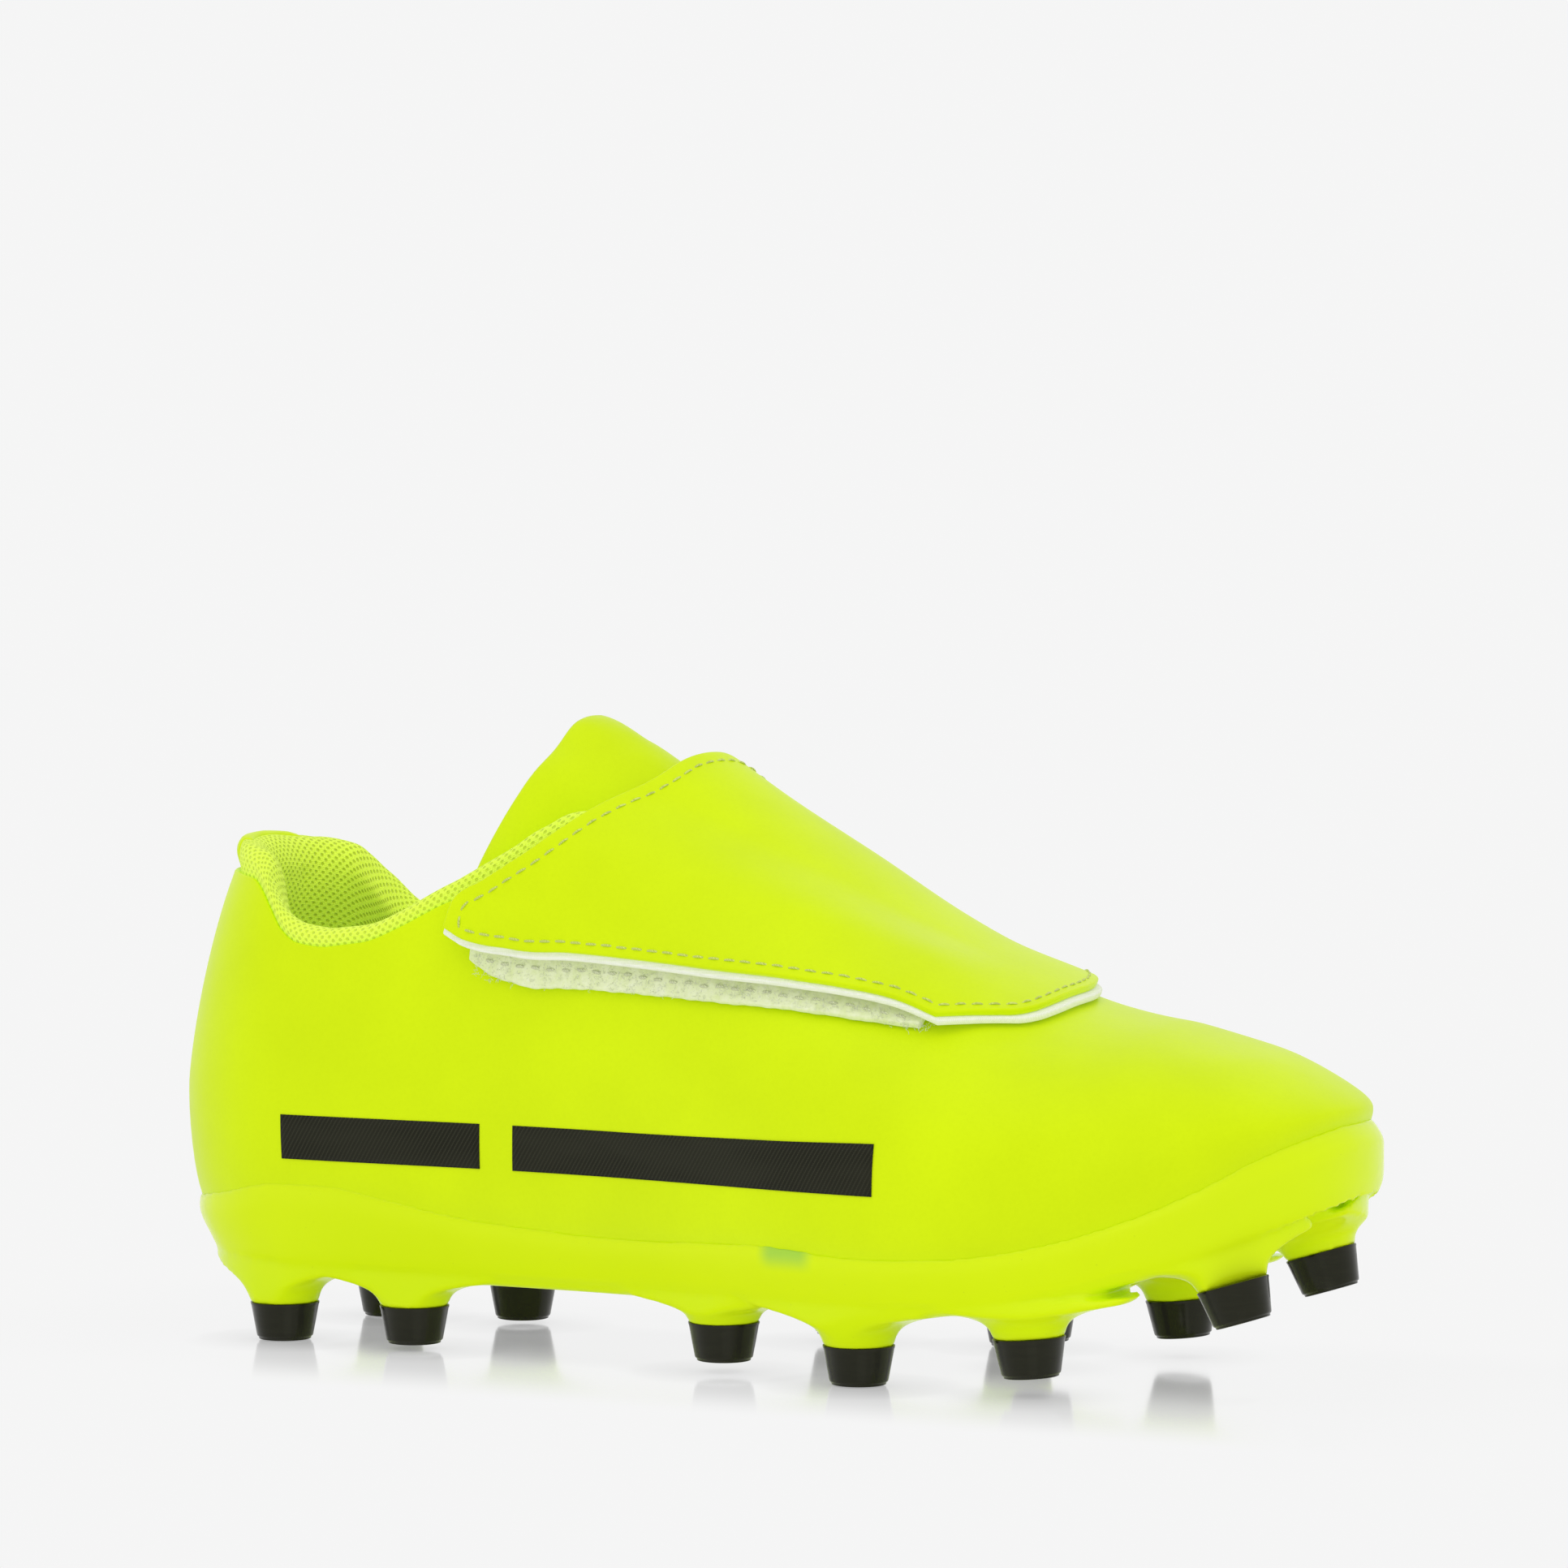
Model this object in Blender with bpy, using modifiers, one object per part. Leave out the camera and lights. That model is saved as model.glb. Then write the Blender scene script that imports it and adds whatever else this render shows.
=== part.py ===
"""Right-foot children's firm-ground soccer cleat with an instep strap.

Frame: +X towards the toe, +Y towards the medial (inner) side, +Z up, ground at z = 0.
Every dimension is in millimetres; MM turns it into metres, and ORIGIN moves the scene
origin to the bottom centre of the bounding box.

The upper is a last-shaped surface made of ribs: fans of ribs round the heel and the
toe, and cross ribs on each side between them. Every layer of the shoe (upper, counter,
puff, foam, lining, tongue, strap) is that surface at its own offset.
"""
import bpy
import bmesh
import numpy as np
from math import radians, sin, cos, pi
from mathutils import Vector, Matrix

MM = 0.001
ORIGIN = (101.288, -1.08)   # bottom centre of the whole boot, in last coordinates
MERGE_DIST = 1e-6           # metres
SHARP_DEG = 35.0            # edges steeper than this shade sharp

# ------------------------------------------------------------------ shape of the last
HEEL_CENTRE = (27.0, 0.0)
TOE_CENTRE = (170.0, 3.0)
# (x, y) of the outline at the widest level, heel back -> lateral -> toe -> medial
OUTLINE_PTS = [
    (1.0, 0), (3.2, -11.0), (10.0, -20.2), (18.6, -25.3), (27, -27.0), (45, -27.5),
    (65, -27.5), (85, -29), (105, -32.5), (125, -36.5), (143, -38.2), (160, -36.5),
    (175, -30.5), (187.5, -21.2), (196, -9.5), (199.6, 3), (198, 14.5), (191.5, 24.5),
    (179, 31.6), (163, 35.2), (147, 36), (130, 34.5), (112, 30.5), (95, 26.5),
    (78, 24.5), (60, 24.8), (42, 26.3), (27, 26.8), (18.6, 25.1), (10.0, 20.1), (3.2, 11.0)]
OUTLINE_STEPS = 10          # spline points per outline span

# (x, value) tables
SPINE_Y = [(0, 0), (27, 0), (60, 1.5), (90, 3), (130, 3.5), (170, 3)]
RIDGE_Z = [(27, 90), (45, 100), (58, 104), (70, 103.6), (80, 99.4), (92, 92.0), (103.4, 84.5),
           (117.5, 76.0), (131.4, 67.2), (139.6, 62.9), (149, 59.5), (157, 56.8),
           (166.6, 54.8), (170, 54.4)]
WIDEST_Z = [(0, 40), (27, 38), (60, 34), (100, 30), (140, 30), (165, 32.5), (180, 36.5),
            (192, 40.5), (199, 42.3)]
# underside of the outsole plate
PLATE_Z = [(0, 12.5), (10, 11.5), (27, 11.5), (60, 10.8), (100, 11), (140, 11.5),
           (152, 12.4), (163, 14.3), (172, 16.8), (182, 20), (191, 24.5), (199, 30)]
# sole edge, in from the widest outline
INSET = [(0, 5.0), (10, 5.2), (27, 5.6), (60, 6), (100, 6), (140, 5), (170, 4.6), (199, 3.0)]
# powers of the sine (height) and cosine (width) in a rib's upper arc
HEIGHT_POWER = [(0, 1.0), (92, 1.0), (120, 0.97), (145, 0.92), (170, 0.95), (199, 1.0)]
WIDTH_POWER = [(0, 1.0), (60, 1.0), (92, 1.02), (120, 1.0), (145, 0.94), (170, 0.92),
               (199, 1.0)]
TOE_TILT = 0.23             # slope of the toe cap at the end of the ridge
HEEL_HOLLOW = 1.3           # hollow of the heel's back above its widest level
HEEL_HOLLOW_TOP = 50.0      # rib angle where it ends
TOE_HOLLOW = 2.4            # hollow of the toe's front above its widest level
TOE_HOLLOW_TOP = 55.0
UNDERCUT_POWER = 2.2        # how late a rib turns in below the widest level
REBATE = 1.2                # step in the shell that seats the outsole wall flush
MIN_WALL_DEPTH = 0.13       # wall edge below the widest level, as a share of the drop

HEEL_RIBS = 5               # ribs in each half of a fan
TOE_RIBS = 6
SIDE_X = [34, 43, 56, 68, 77, 86, 96, 107, 118, 130, 141, 152, 162]

# ------------------------------------------------------------------ shell, insole and sole
# shell topline as an angle up the rib: (heel azimuth, angle), then (x, angle) on the sides
TOP_HEEL = [(0, 44.5), (24, 44), (50, 43.6), (66, 43), (74, 41), (82, 37.5), (90, 33)]
TOP_SIDE = [(27, 33), (30, 29.5), (33, 28), (37, 26.9), (43, 26.7), (49, 28.2), (57, 31.5),
            (65, 35.5), (73, 41.5), (78, 47), (84, 53), (92, 60), (100, 65), (108, 69),
            (116, 74), (122, 81), (126, 90)]
# (x, z) of the outsole wall's top edge
WALL_Z = [(0, 20.5), (15.5, 22.8), (29, 25.3), (38, 25.8), (46.7, 24.6), (67, 21.2), (90, 19.8),
          (118, 21.4), (134, 20), (149, 21.4), (159.5, 23.2), (176, 28.2), (185, 32.5),
          (192, 36.8), (199, 40.3)]
WALL_T = 1.3
PLATE_T = 3.1
TOE_LIP = 1.7               # extra thickness of the wall at the toe
GAP = 0.3
UPPER_T = 1.2
MARGIN_W = 9.0              # lasting margin turned under the upper
MARGIN_STEP = 3.0           # row of points on the margin near its outer edge
BOARD_T = 1.5
SOCK_T = 3.0
COVER_T = 0.7
RISE = (0.22, 0.44, 0.65, 0.84, 1.0)   # rows from the widest level to a rib's top

# ------------------------------------------------------------------ curves


def hermite(t, start, end, start_slope, end_slope):
    return ((2 * t**3 - 3 * t**2 + 1) * start + (t**3 - 2 * t**2 + t) * start_slope
            + (-2 * t**3 + 3 * t**2) * end + (t**3 - t**2) * end_slope)


def monotone(xs, ys, x):
    """Monotone cubic through (xs, ys) at x, held constant past the ends."""
    x = min(max(x, xs[0]), xs[-1])
    step = np.diff(xs)
    chord = np.diff(ys) / step
    slope = np.zeros(len(xs))
    slope[0], slope[-1] = chord[0], chord[-1]
    for i in range(1, len(xs) - 1):
        if chord[i - 1] * chord[i] > 0:
            before = 2 * step[i] + step[i - 1]
            after = step[i] + 2 * step[i - 1]
            slope[i] = (before + after) / (before / chord[i - 1] + after / chord[i])
    k = min(max(np.searchsorted(xs, x, side='right') - 1, 0), len(xs) - 2)
    t = (x - xs[k]) / step[k]
    return float(hermite(t, ys[k], ys[k + 1], step[k] * slope[k], step[k] * slope[k + 1]))


def tab(pairs, x):
    """Value at x of a table of (x, value) stations."""
    table = np.array(pairs, float)
    return monotone(table[:, 0], table[:, 1], x)


def smooth(start, end, x):
    """Smoothstep from 0 at start to 1 at end."""
    t = min(1.0, max(0.0, (x - start) / (end - start)))
    return t * t * (3 - 2 * t)


def closed_spline(pts, steps):
    pts = np.array(pts, float)
    count = len(pts)
    out = []
    for i in range(count):
        before, start, end, after = (pts[(i + k) % count] for k in (-1, 0, 1, 2))
        span = np.linalg.norm(end - start)
        start_slope = (end - before) / (np.linalg.norm(start - before) + span) * span
        end_slope = (after - start) / (np.linalg.norm(after - end) + span) * span
        out += [hermite(k / steps, start, end, start_slope, end_slope) for k in range(steps)]
    return np.array(out)


OUTLINE = closed_spline(OUTLINE_PTS, OUTLINE_STEPS)


def reach(centre, direction):
    """Distance from centre along direction to the outline."""
    starts = OUTLINE - centre
    ends = np.roll(OUTLINE, -1, 0) - centre
    normal = np.array([-direction[1], direction[0]])
    start_side, end_side = starts @ normal, ends @ normal
    hits = []
    for i in np.where((start_side * end_side <= 0) & (start_side != end_side))[0]:
        t = start_side[i] / (start_side[i] - end_side[i])
        hits.append((starts[i] + t * (ends[i] - starts[i])) @ direction)
    return min(hit for hit in hits if hit > 0)


# ------------------------------------------------------------------ ribs of the last
class Rib:
    """A plane curve from the ridge out to the widest level and under to the sole."""

    def __init__(self, region, place, side=1):
        """place is x for a 'side' rib (side -1 lateral, +1 medial). For a 'heel' or
        'toe' rib it is the azimuth in degrees off the long axis (minus = lateral)."""
        self.region = region
        if region == 'side':
            self.azimuth = 90.0
            centre, direction = (place, tab(SPINE_Y, place)), (0.0, side)
        else:
            self.azimuth = place
            turn = radians(place)
            if region == 'heel':
                centre, direction = HEEL_CENTRE, (-cos(turn), sin(turn))
            else:
                centre, direction = TOE_CENTRE, (cos(turn), sin(turn))
        self.station = centre[0]
        self.centre, self.direction = np.array(centre, float), np.array(direction, float)
        self.width = reach(self.centre, self.direction)
        self.x = self.x_at(self.width)
        self.sole_width = self.width - tab(INSET, self.x)
        self.ridge_z = tab(RIDGE_Z, self.station)
        self.widest_z = tab(WIDEST_Z, self.x)
        self.sole_z = tab(PLATE_Z, self.x_at(self.sole_width)) + PLATE_T + GAP
        drop = self.widest_z - self.sole_z
        self.wall_depth = max(MIN_WALL_DEPTH, (self.widest_z - tab(WALL_Z, self.x)) / drop)
        self.height_power = tab(HEIGHT_POWER, self.x)
        self.width_power = tab(WIDTH_POWER, self.x)
        if region == 'heel':
            self.top = tab(TOP_HEEL, abs(place))
        else:
            self.top = tab(TOP_SIDE, self.station)

    def x_at(self, w):
        return self.centre[0] + self.direction[0] * w

    def point(self, w, z):
        return np.array([self.x_at(w), self.centre[1] + self.direction[1] * w, z])

    def at(self, angle, off=0.0):
        """Point at angle (0 = widest level, 90 = ridge, -90 = sole edge), off mm outward."""
        width = self.width + off
        if angle < 0:
            s = min(1.0, -angle / 90.0)
            z = self.widest_z - (self.widest_z - self.sole_z + off) * s
            undercut = width - (self.sole_width + off) - REBATE
            w = (width - undercut * s ** UNDERCUT_POWER
                 - REBATE * smooth(self.wall_depth - 0.05, self.wall_depth, s))
            return self.point(w, z)
        t = radians(min(angle, 90.0))
        z = self.widest_z + (self.ridge_z + off - self.widest_z) * sin(t) ** self.height_power
        w = 0.0 if angle >= 89.999 else width * cos(t) ** self.width_power
        facing = cos(radians(self.azimuth))
        if self.region == 'heel':
            w -= HEEL_HOLLOW * facing * sin(pi * min(1.0, angle / HEEL_HOLLOW_TOP))
        if self.region == 'toe':
            w -= TOE_HOLLOW * facing * sin(pi * min(1.0, angle / TOE_HOLLOW_TOP))
            z -= TOE_TILT * facing * w * (1 - (w / width) ** 2)
        return self.point(w, z)

    def plate(self, w, dz):
        """Point w out from the spine, dz above the plate's underside."""
        return self.point(w, tab(PLATE_Z, self.x_at(w)) + dz)

    def deg_per_mm(self, angle):
        return 1.0 / float(np.linalg.norm(self.at(angle + 0.5) - self.at(angle - 0.5)))

    def angle_at_z(self, z):
        """Angle below the widest level where the rib is at height z."""
        return -90.0 * (self.widest_z - z) / (self.widest_z - self.sole_z)

    def low_angles(self):
        """Angles from the sole edge up past the seat of the outsole wall."""
        depth = self.wall_depth
        ledge = depth - 0.06
        return [-90, -45 * (1 + depth), -90 * depth, -90 * ledge, -45 * ledge]


def fan(region, half):
    """Ribs of one fan, lateral to medial."""
    return [Rib(region, -90 + 90 * i / half) for i in range(2 * half + 1)]


HEEL_FAN = fan('heel', HEEL_RIBS)
TOE_FAN = fan('toe', TOE_RIBS)
LATERAL, MEDIAL = ([Rib('side', x, side) for x in SIDE_X] for side in (-1, 1))
# heel back -> lateral -> toe -> medial -> heel
LOOP = (HEEL_FAN[HEEL_RIBS::-1] + LATERAL + TOE_FAN + MEDIAL[::-1]
        + HEEL_FAN[:HEEL_RIBS:-1])


def heel_run(x_max):
    """Ribs from the lateral side at x_max round the heel to the medial side at x_max."""
    return [r for r in LATERAL[::-1] + HEEL_FAN + MEDIAL if r.station <= x_max]


def toe_run(x_min):
    return [r for r in LATERAL + TOE_FAN + MEDIAL[::-1] if r.station >= x_min]


def last_point(x, psi, off):
    """Point on the last at station x, psi degrees off the ridge (minus = lateral)."""
    return Rib('side', x, -1 if psi < 0 else 1).at(90.0 - abs(psi), off)


def lining_off(x):
    """Outer face of the lining: behind the counter and collar foam, the bare quarter, the puff."""
    return -1.9 - 1.4 * (1 - smooth(88, 104, x)) - 1.3 * smooth(140, 152, x)


# ------------------------------------------------------------------ scene and materials
for ob in list(bpy.data.objects):
    bpy.data.objects.remove(ob, do_unlink=True)
for collection in list(bpy.data.collections):
    bpy.data.collections.remove(collection)

PARTS = bpy.data.collections.new("soccer_cleat")
CUTTERS = bpy.data.collections.new("cutters")
bpy.context.scene.collection.children.link(PARTS)
bpy.context.scene.collection.children.link(CUTTERS)

# name: (base colour, roughness)
FINISHES = {
    "tpu_outsole": ((0.55, 0.90, 0.02), 0.22),
    "stud_black": ((0.012, 0.012, 0.013), 0.30),
    "pu_upper": ((0.62, 0.88, 0.015), 0.38),
    "mesh_lining": ((0.50, 0.82, 0.06), 0.85),
    "lining_fabric": ((0.42, 0.70, 0.05), 0.90),
    "foam": ((0.85, 0.82, 0.62), 0.95),
    "counter_board": ((0.72, 0.70, 0.64), 0.80),
    "insole_board": ((0.78, 0.74, 0.66), 0.90),
    "sock_cover": ((0.10, 0.10, 0.11), 0.90),
    "sock_foam": ((0.30, 0.62, 0.05), 0.90),
    "strap_backing": ((0.86, 0.88, 0.80), 0.80),
    "loop_pile": ((0.78, 0.88, 0.55), 0.95),
    "hook_tape": ((0.85, 0.86, 0.80), 0.60),
}


def material(name, colour, roughness):
    mat = bpy.data.materials.new(name)
    mat.use_nodes = True
    shader = mat.node_tree.nodes["Principled BSDF"]
    shader.inputs["Base Color"].default_value = (*colour, 1.0)
    shader.inputs["Roughness"].default_value = roughness
    shader.inputs["Metallic"].default_value = 0.0
    mat.diffuse_color = (*colour, 1.0)
    return mat


MATS = {name: material(name, *finish) for name, finish in FINISHES.items()}

# ------------------------------------------------------------------ mesh builders


def put(p):
    """Scene position in metres of a point in last coordinates."""
    return Vector(((p[0] - ORIGIN[0]) * MM, (p[1] - ORIGIN[1]) * MM, p[2] * MM))


def put_rows(bm, rows):
    return [[bm.verts.new(put(p)) for p in row] for row in rows]


def merge(bm):
    bmesh.ops.remove_doubles(bm, verts=bm.verts, dist=MERGE_DIST)
    bmesh.ops.dissolve_degenerate(bm, dist=MERGE_DIST, edges=bm.edges)


def add_object(bm, name, mat, collection=PARTS, origin=None):
    bmesh.ops.recalc_face_normals(bm, faces=bm.faces)
    return link_mesh(bm, name, mat, collection, origin)


def link_mesh(bm, name, mat, collection, origin):
    mesh = bpy.data.meshes.new(name)
    bm.to_mesh(mesh)
    bm.free()
    ob = bpy.data.objects.new(name, mesh)
    collection.objects.link(ob)
    mesh.materials.append(MATS[mat])
    if origin is not None:
        ob.location = put(origin)
        mesh.transform(Matrix.Translation(-put(origin)))
    mesh.shade_smooth()
    mesh.set_sharp_from_angle(angle=radians(SHARP_DEG))
    return ob


def face_out(bm, outward):
    """Turn a sheet so its faces look along outward(face centre)."""
    bmesh.ops.recalc_face_normals(bm, faces=bm.faces)
    bm.normal_update()
    facing = sum(f.normal.dot(outward(f.calc_center_median())) * f.calc_area()
                 for f in bm.faces)
    if facing < 0:
        bmesh.ops.reverse_faces(bm, faces=bm.faces)
    bm.normal_update()


def away_from_last(position):
    """Direction out of the foot cavity, whose core line runs at z = 36."""
    x = position.x / MM + ORIGIN[0]
    core_x = min(max(x, HEEL_CENTRE[0]), TOE_CENTRE[0])
    return position - put((core_x, tab(SPINE_Y, x), 36.0))


def solid_sheet(name, rows, thick, mat, closed=False, outward=away_from_last, origin=None):
    """Sheet through rows[rib][point up the rib], thickened inward."""
    bm = bmesh.new()
    verts = put_rows(bm, rows)
    count = len(rows)
    for i in range(count if closed else count - 1):
        a, b = verts[i], verts[(i + 1) % count]
        for j in range(len(a) - 1):
            bm.faces.new((a[j], b[j], b[j + 1], a[j + 1]))
    merge(bm)
    face_out(bm, outward)
    ob = link_mesh(bm, name, mat, PARTS, origin)
    mod = ob.modifiers.new("thickness", 'SOLIDIFY')
    mod.thickness = thick * MM
    mod.offset = -1.0
    mod.use_even_offset = False
    mod.use_quality_normals = True
    mod.use_rim = True


def loft(name, sections, mat):
    """Solid through closed sections, capped at both ends."""
    bm = bmesh.new()
    verts = put_rows(bm, sections)
    for a, b in zip(verts[:-1], verts[1:]):
        for j in range(len(a)):
            k = (j + 1) % len(a)
            bm.faces.new((a[j], a[k], b[k], b[j]))
    bm.faces.new(verts[0])
    bm.faces.new(verts[-1][::-1])
    add_object(bm, name, mat)


def disk(name, under, over, mat):
    """Solid whose lower and upper skins run from a rim to the spine of the last.
    under / over: for each rib a list of points, rim first, spine last."""
    bm = bmesh.new()
    low = put_rows(bm, under)
    high = put_rows(bm, over)
    for i in range(len(low)):
        k = (i + 1) % len(low)
        for j in range(len(low[i]) - 1):
            bm.faces.new((low[i][j], low[i][j + 1], low[k][j + 1], low[k][j]))
        for j in range(len(high[i]) - 1):
            bm.faces.new((high[i][j], high[k][j], high[k][j + 1], high[i][j + 1]))
        bm.faces.new((low[i][0], low[k][0], high[k][0], high[i][0]))
    merge(bm)
    return add_object(bm, name, mat)


def lathe(name, profile, at, lean, collection, mat):
    """Turned solid: profile (radius, height) spun about its own axis, standing on the
    point at, its foot leaning towards +X by lean degrees."""
    bm = bmesh.new()
    verts = [bm.verts.new(Vector((radius * MM, 0, z * MM))) for radius, z in profile]
    for a, b in zip(verts[:-1], verts[1:]):
        bm.edges.new((a, b))
    bmesh.ops.spin(bm, geom=bm.verts[:] + bm.edges[:], cent=(0, 0, 0), axis=(0, 0, 1),
                   angle=2 * pi, steps=STUD_SEG, use_merge=True, use_duplicate=False)
    merge(bm)
    ob = add_object(bm, name, mat, collection)
    ob.location = put(at)
    ob.rotation_euler = (0.0, -radians(lean), 0.0)
    return ob


# ------------------------------------------------------------------ padded collar sizes
COLLAR_END_X = 86.0         # the collar runs from here round the heel to here
# (x, mm): roll above the shell edge, and its thickness
ROLL_H = [(0, 8.2), (14, 7.2), (22, 5.4), (27, 4.6), (45, 3.8), (62, 3.2), (90, 2.6)]
ROLL_T = [(0, 6.2), (27, 5.6), (45, 5.0), (62, 4.4), (90, 3.6)]
COLLAR_FOOT = 18.0          # rib angle near the collar's lower edge
COLLAR_FOOT_T = 3.4         # depth of the collar lining there
HEEL_TAB_AZIMUTHS = (-34, -23, -11, 0, 11, 23, 34)

# ------------------------------------------------------------------ upper and stiffeners


def build_upper():
    rows = []
    for r in LOOP:
        row = [r.plate(r.sole_width - inset, PLATE_T + GAP) for inset in (MARGIN_W, MARGIN_STEP)]
        row += [r.at(angle) for angle in r.low_angles() + [0]]
        row += [r.at(r.top * f) for f in RISE]
        rows.append(row)
    solid_sheet("upper_outer", rows, UPPER_T, "pu_upper", closed=True)


def build_upper_lining():
    """Lining of the upper, stopping under the collar and at the throat edge."""
    rows = []
    for r in LOOP:
        off = lining_off(r.x)
        low = r.angle_at_z(r.sole_z + BOARD_T + UPPER_T + 1.0)
        if r.station <= COLLAR_END_X:
            high = 15.5
        elif r.station <= 96:
            high = r.top - 14
        else:
            high = r.top - 1.5 if r.top < 90 else 90.0
        angles = [low] + r.low_angles()[2:] + [high * f for f in (0.0, *RISE)]
        rows.append([r.at(angle, off) for angle in angles])
    solid_sheet("upper_lining", rows, 0.9, "lining_fabric", closed=True)


def build_heel_counter():
    rows = [[r.at(angle, -1.7) for angle in r.low_angles()[1:] + [0, 13]]
            for r in heel_run(56)]
    solid_sheet("heel_counter", rows, 1.1, "counter_board")


def build_toe_puff():
    rows = [[r.at(angle, -2.1) for angle in r.low_angles()[3:] + [0, 9.9, 19.8, 36]]
            for r in toe_run(152)]
    solid_sheet("toe_puff", rows, 0.5, "counter_board")


# ------------------------------------------------------------------ padded collar


def collar_frame(r):
    """Roll height, roll thickness, and degrees per mm at the shell edge."""
    x = 0.0 if r.region == 'heel' and abs(r.azimuth) < 1 else r.x
    return tab(ROLL_H, x), tab(ROLL_T, x), r.deg_per_mm(r.top)


def collar_angle(r, share):
    """Angle a share of the way from the collar's foot to the shell edge."""
    return COLLAR_FOOT + share * (r.top - COLLAR_FOOT)


def collar_skin(r):
    """Lining from the shell edge over the roll and down inside to the collar's foot."""
    height, thick, k = collar_frame(r)
    rise = height * k
    pts = [(r.top + 0.45 * k, -0.15), (r.top + 0.5 * rise, 0.25), (r.top + 0.88 * rise, -0.9),
           (r.top + rise, -0.5 * thick), (r.top + 0.85 * rise, -thick + 0.9),
           (r.top + 0.35 * rise, -thick), (r.top - 2.0 * k, -thick - 0.1),
           (collar_angle(r, 0.35), -COLLAR_FOOT_T - 0.3 * (thick - COLLAR_FOOT_T)),
           (COLLAR_FOOT - 0.5, -COLLAR_FOOT_T)]
    return [r.at(angle, off) for angle, off in pts]


def collar_core(r):
    """Closed section of the foam: up its outer face, over the roll, down its inner face."""
    height, thick, k = collar_frame(r)
    rise = height * k
    foot = collar_angle(r, 0.15)
    pts = [(foot, -1.65), (r.top - 1.0 * k, -1.85), (r.top + 0.4 * rise, -1.35),
           (r.top + 0.52 * rise, -0.5 * thick), (r.top + 0.1 * rise, -thick + 1.8),
           (r.top - 2.0 * k, -thick + 1.75),
           (collar_angle(r, 0.35), -2.1 - 0.2 * (thick - COLLAR_FOOT_T)), (foot, -2.05)]
    return [r.at(angle, off) for angle, off in pts]


def build_collar():
    ribs = heel_run(COLLAR_END_X)
    cores = [put(r.at(r.top, -2.6)) for r in ribs]

    def out_of_foam(position):
        return position - min(cores, key=lambda core: (core - position).length)

    solid_sheet("collar_lining", [collar_skin(r) for r in ribs], 0.8, "mesh_lining",
                outward=out_of_foam)
    loft("collar_foam", [collar_core(r) for r in ribs], "foam")


def build_heel_tab():
    rows = []
    for r in [Rib('heel', azimuth) for azimuth in HEEL_TAB_AZIMUTHS]:
        height, _, k = collar_frame(r)
        rows.append([r.at(r.top + 0.55 * k, 1.35), r.at(r.top + 0.5 * height * k, 1.6),
                     r.at(r.top + 0.98 * height * k, 1.0)])
    solid_sheet("heel_tab", rows, 0.7, "pu_upper")


# ------------------------------------------------------------------ insole stack


def board_width(r):
    return r.sole_width - 1.9


def sock_width(r):
    return r.width - tab(INSET, r.x) * 0.62 + lining_off(r.x) - 1.7


def flat_disk(name, width, bottom, thick, mat):
    under, over = ([[r.plate(width(r) * f, z) for f in (1.0, 0.72, 0.0)] for r in LOOP]
                   for z in (bottom, bottom + thick))
    disk(name, under, over, mat)


def build_insole():
    board = PLATE_T + GAP + UPPER_T + GAP
    sock = board + BOARD_T + GAP
    cover = sock + SOCK_T + GAP
    flat_disk("insole_board", board_width, board, BOARD_T, "insole_board")
    flat_disk("sockliner_foam", sock_width, sock, SOCK_T, "sock_foam")
    flat_disk("sockliner_cover", sock_width, cover, COVER_T, "sock_cover")


# ------------------------------------------------------------------ tongue
# (degrees off the ridge, x) of the top edge, and (x, half width in degrees)
TONGUE_TOP = [(0, 72.5), (9, 72), (21, 71), (31, 68), (40, 65), (45, 64), (51, 63), (57, 62)]
TONGUE_HALF = [(62, 57), (75, 56), (90, 50), (105, 38), (118, 26), (130, 22)]
TONGUE_BASE_X = 130.0
TONGUE_OFF = -3.3
TONGUE_ACROSS = (-1, -0.72, -0.45, -0.2, 0.0, 0.2, 0.45, 0.72, 1)
TONGUE_DOWN = (0, 0.08, 0.22, 0.38, 0.55, 0.75, 1.0)   # top edge to base
# name, depth under the tongue's surface, thickness, material
TONGUE_LAYERS = [
    ("tongue_face", 0.0, 0.9, "pu_upper"),
    ("tongue_foam", 1.45, 1.9, "foam"),
    ("tongue_lining", 4.6, 0.7, "mesh_lining"),
]


def tongue_offset(x, psi):
    """Offset of the tongue's surface, deeper at its sides and base."""
    off_ridge = abs(psi)
    return (TONGUE_OFF - 2.2 * smooth(25, 44, off_ridge) * (1 - smooth(82, 104, x))
            - 1.6 * max(smooth(10, 21, off_ridge), smooth(96, 112, x)))


def tongue_rows(depth):
    rows = []
    for across in TONGUE_ACROSS:
        top_x = tab(TONGUE_TOP, abs(across) * TONGUE_TOP[-1][0])
        row = []
        for down in TONGUE_DOWN:
            x = top_x + (TONGUE_BASE_X - top_x) * down
            psi = across * tab(TONGUE_HALF, x)
            row.append(last_point(x, psi, tongue_offset(x, psi) - depth))
        rows.append(row)
    return rows


def build_tongue():
    base = last_point(TONGUE_BASE_X, 0.0, TONGUE_OFF)
    for name, depth, thick, mat in TONGUE_LAYERS:
        solid_sheet(name, tongue_rows(depth), thick, mat, origin=base)


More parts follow.
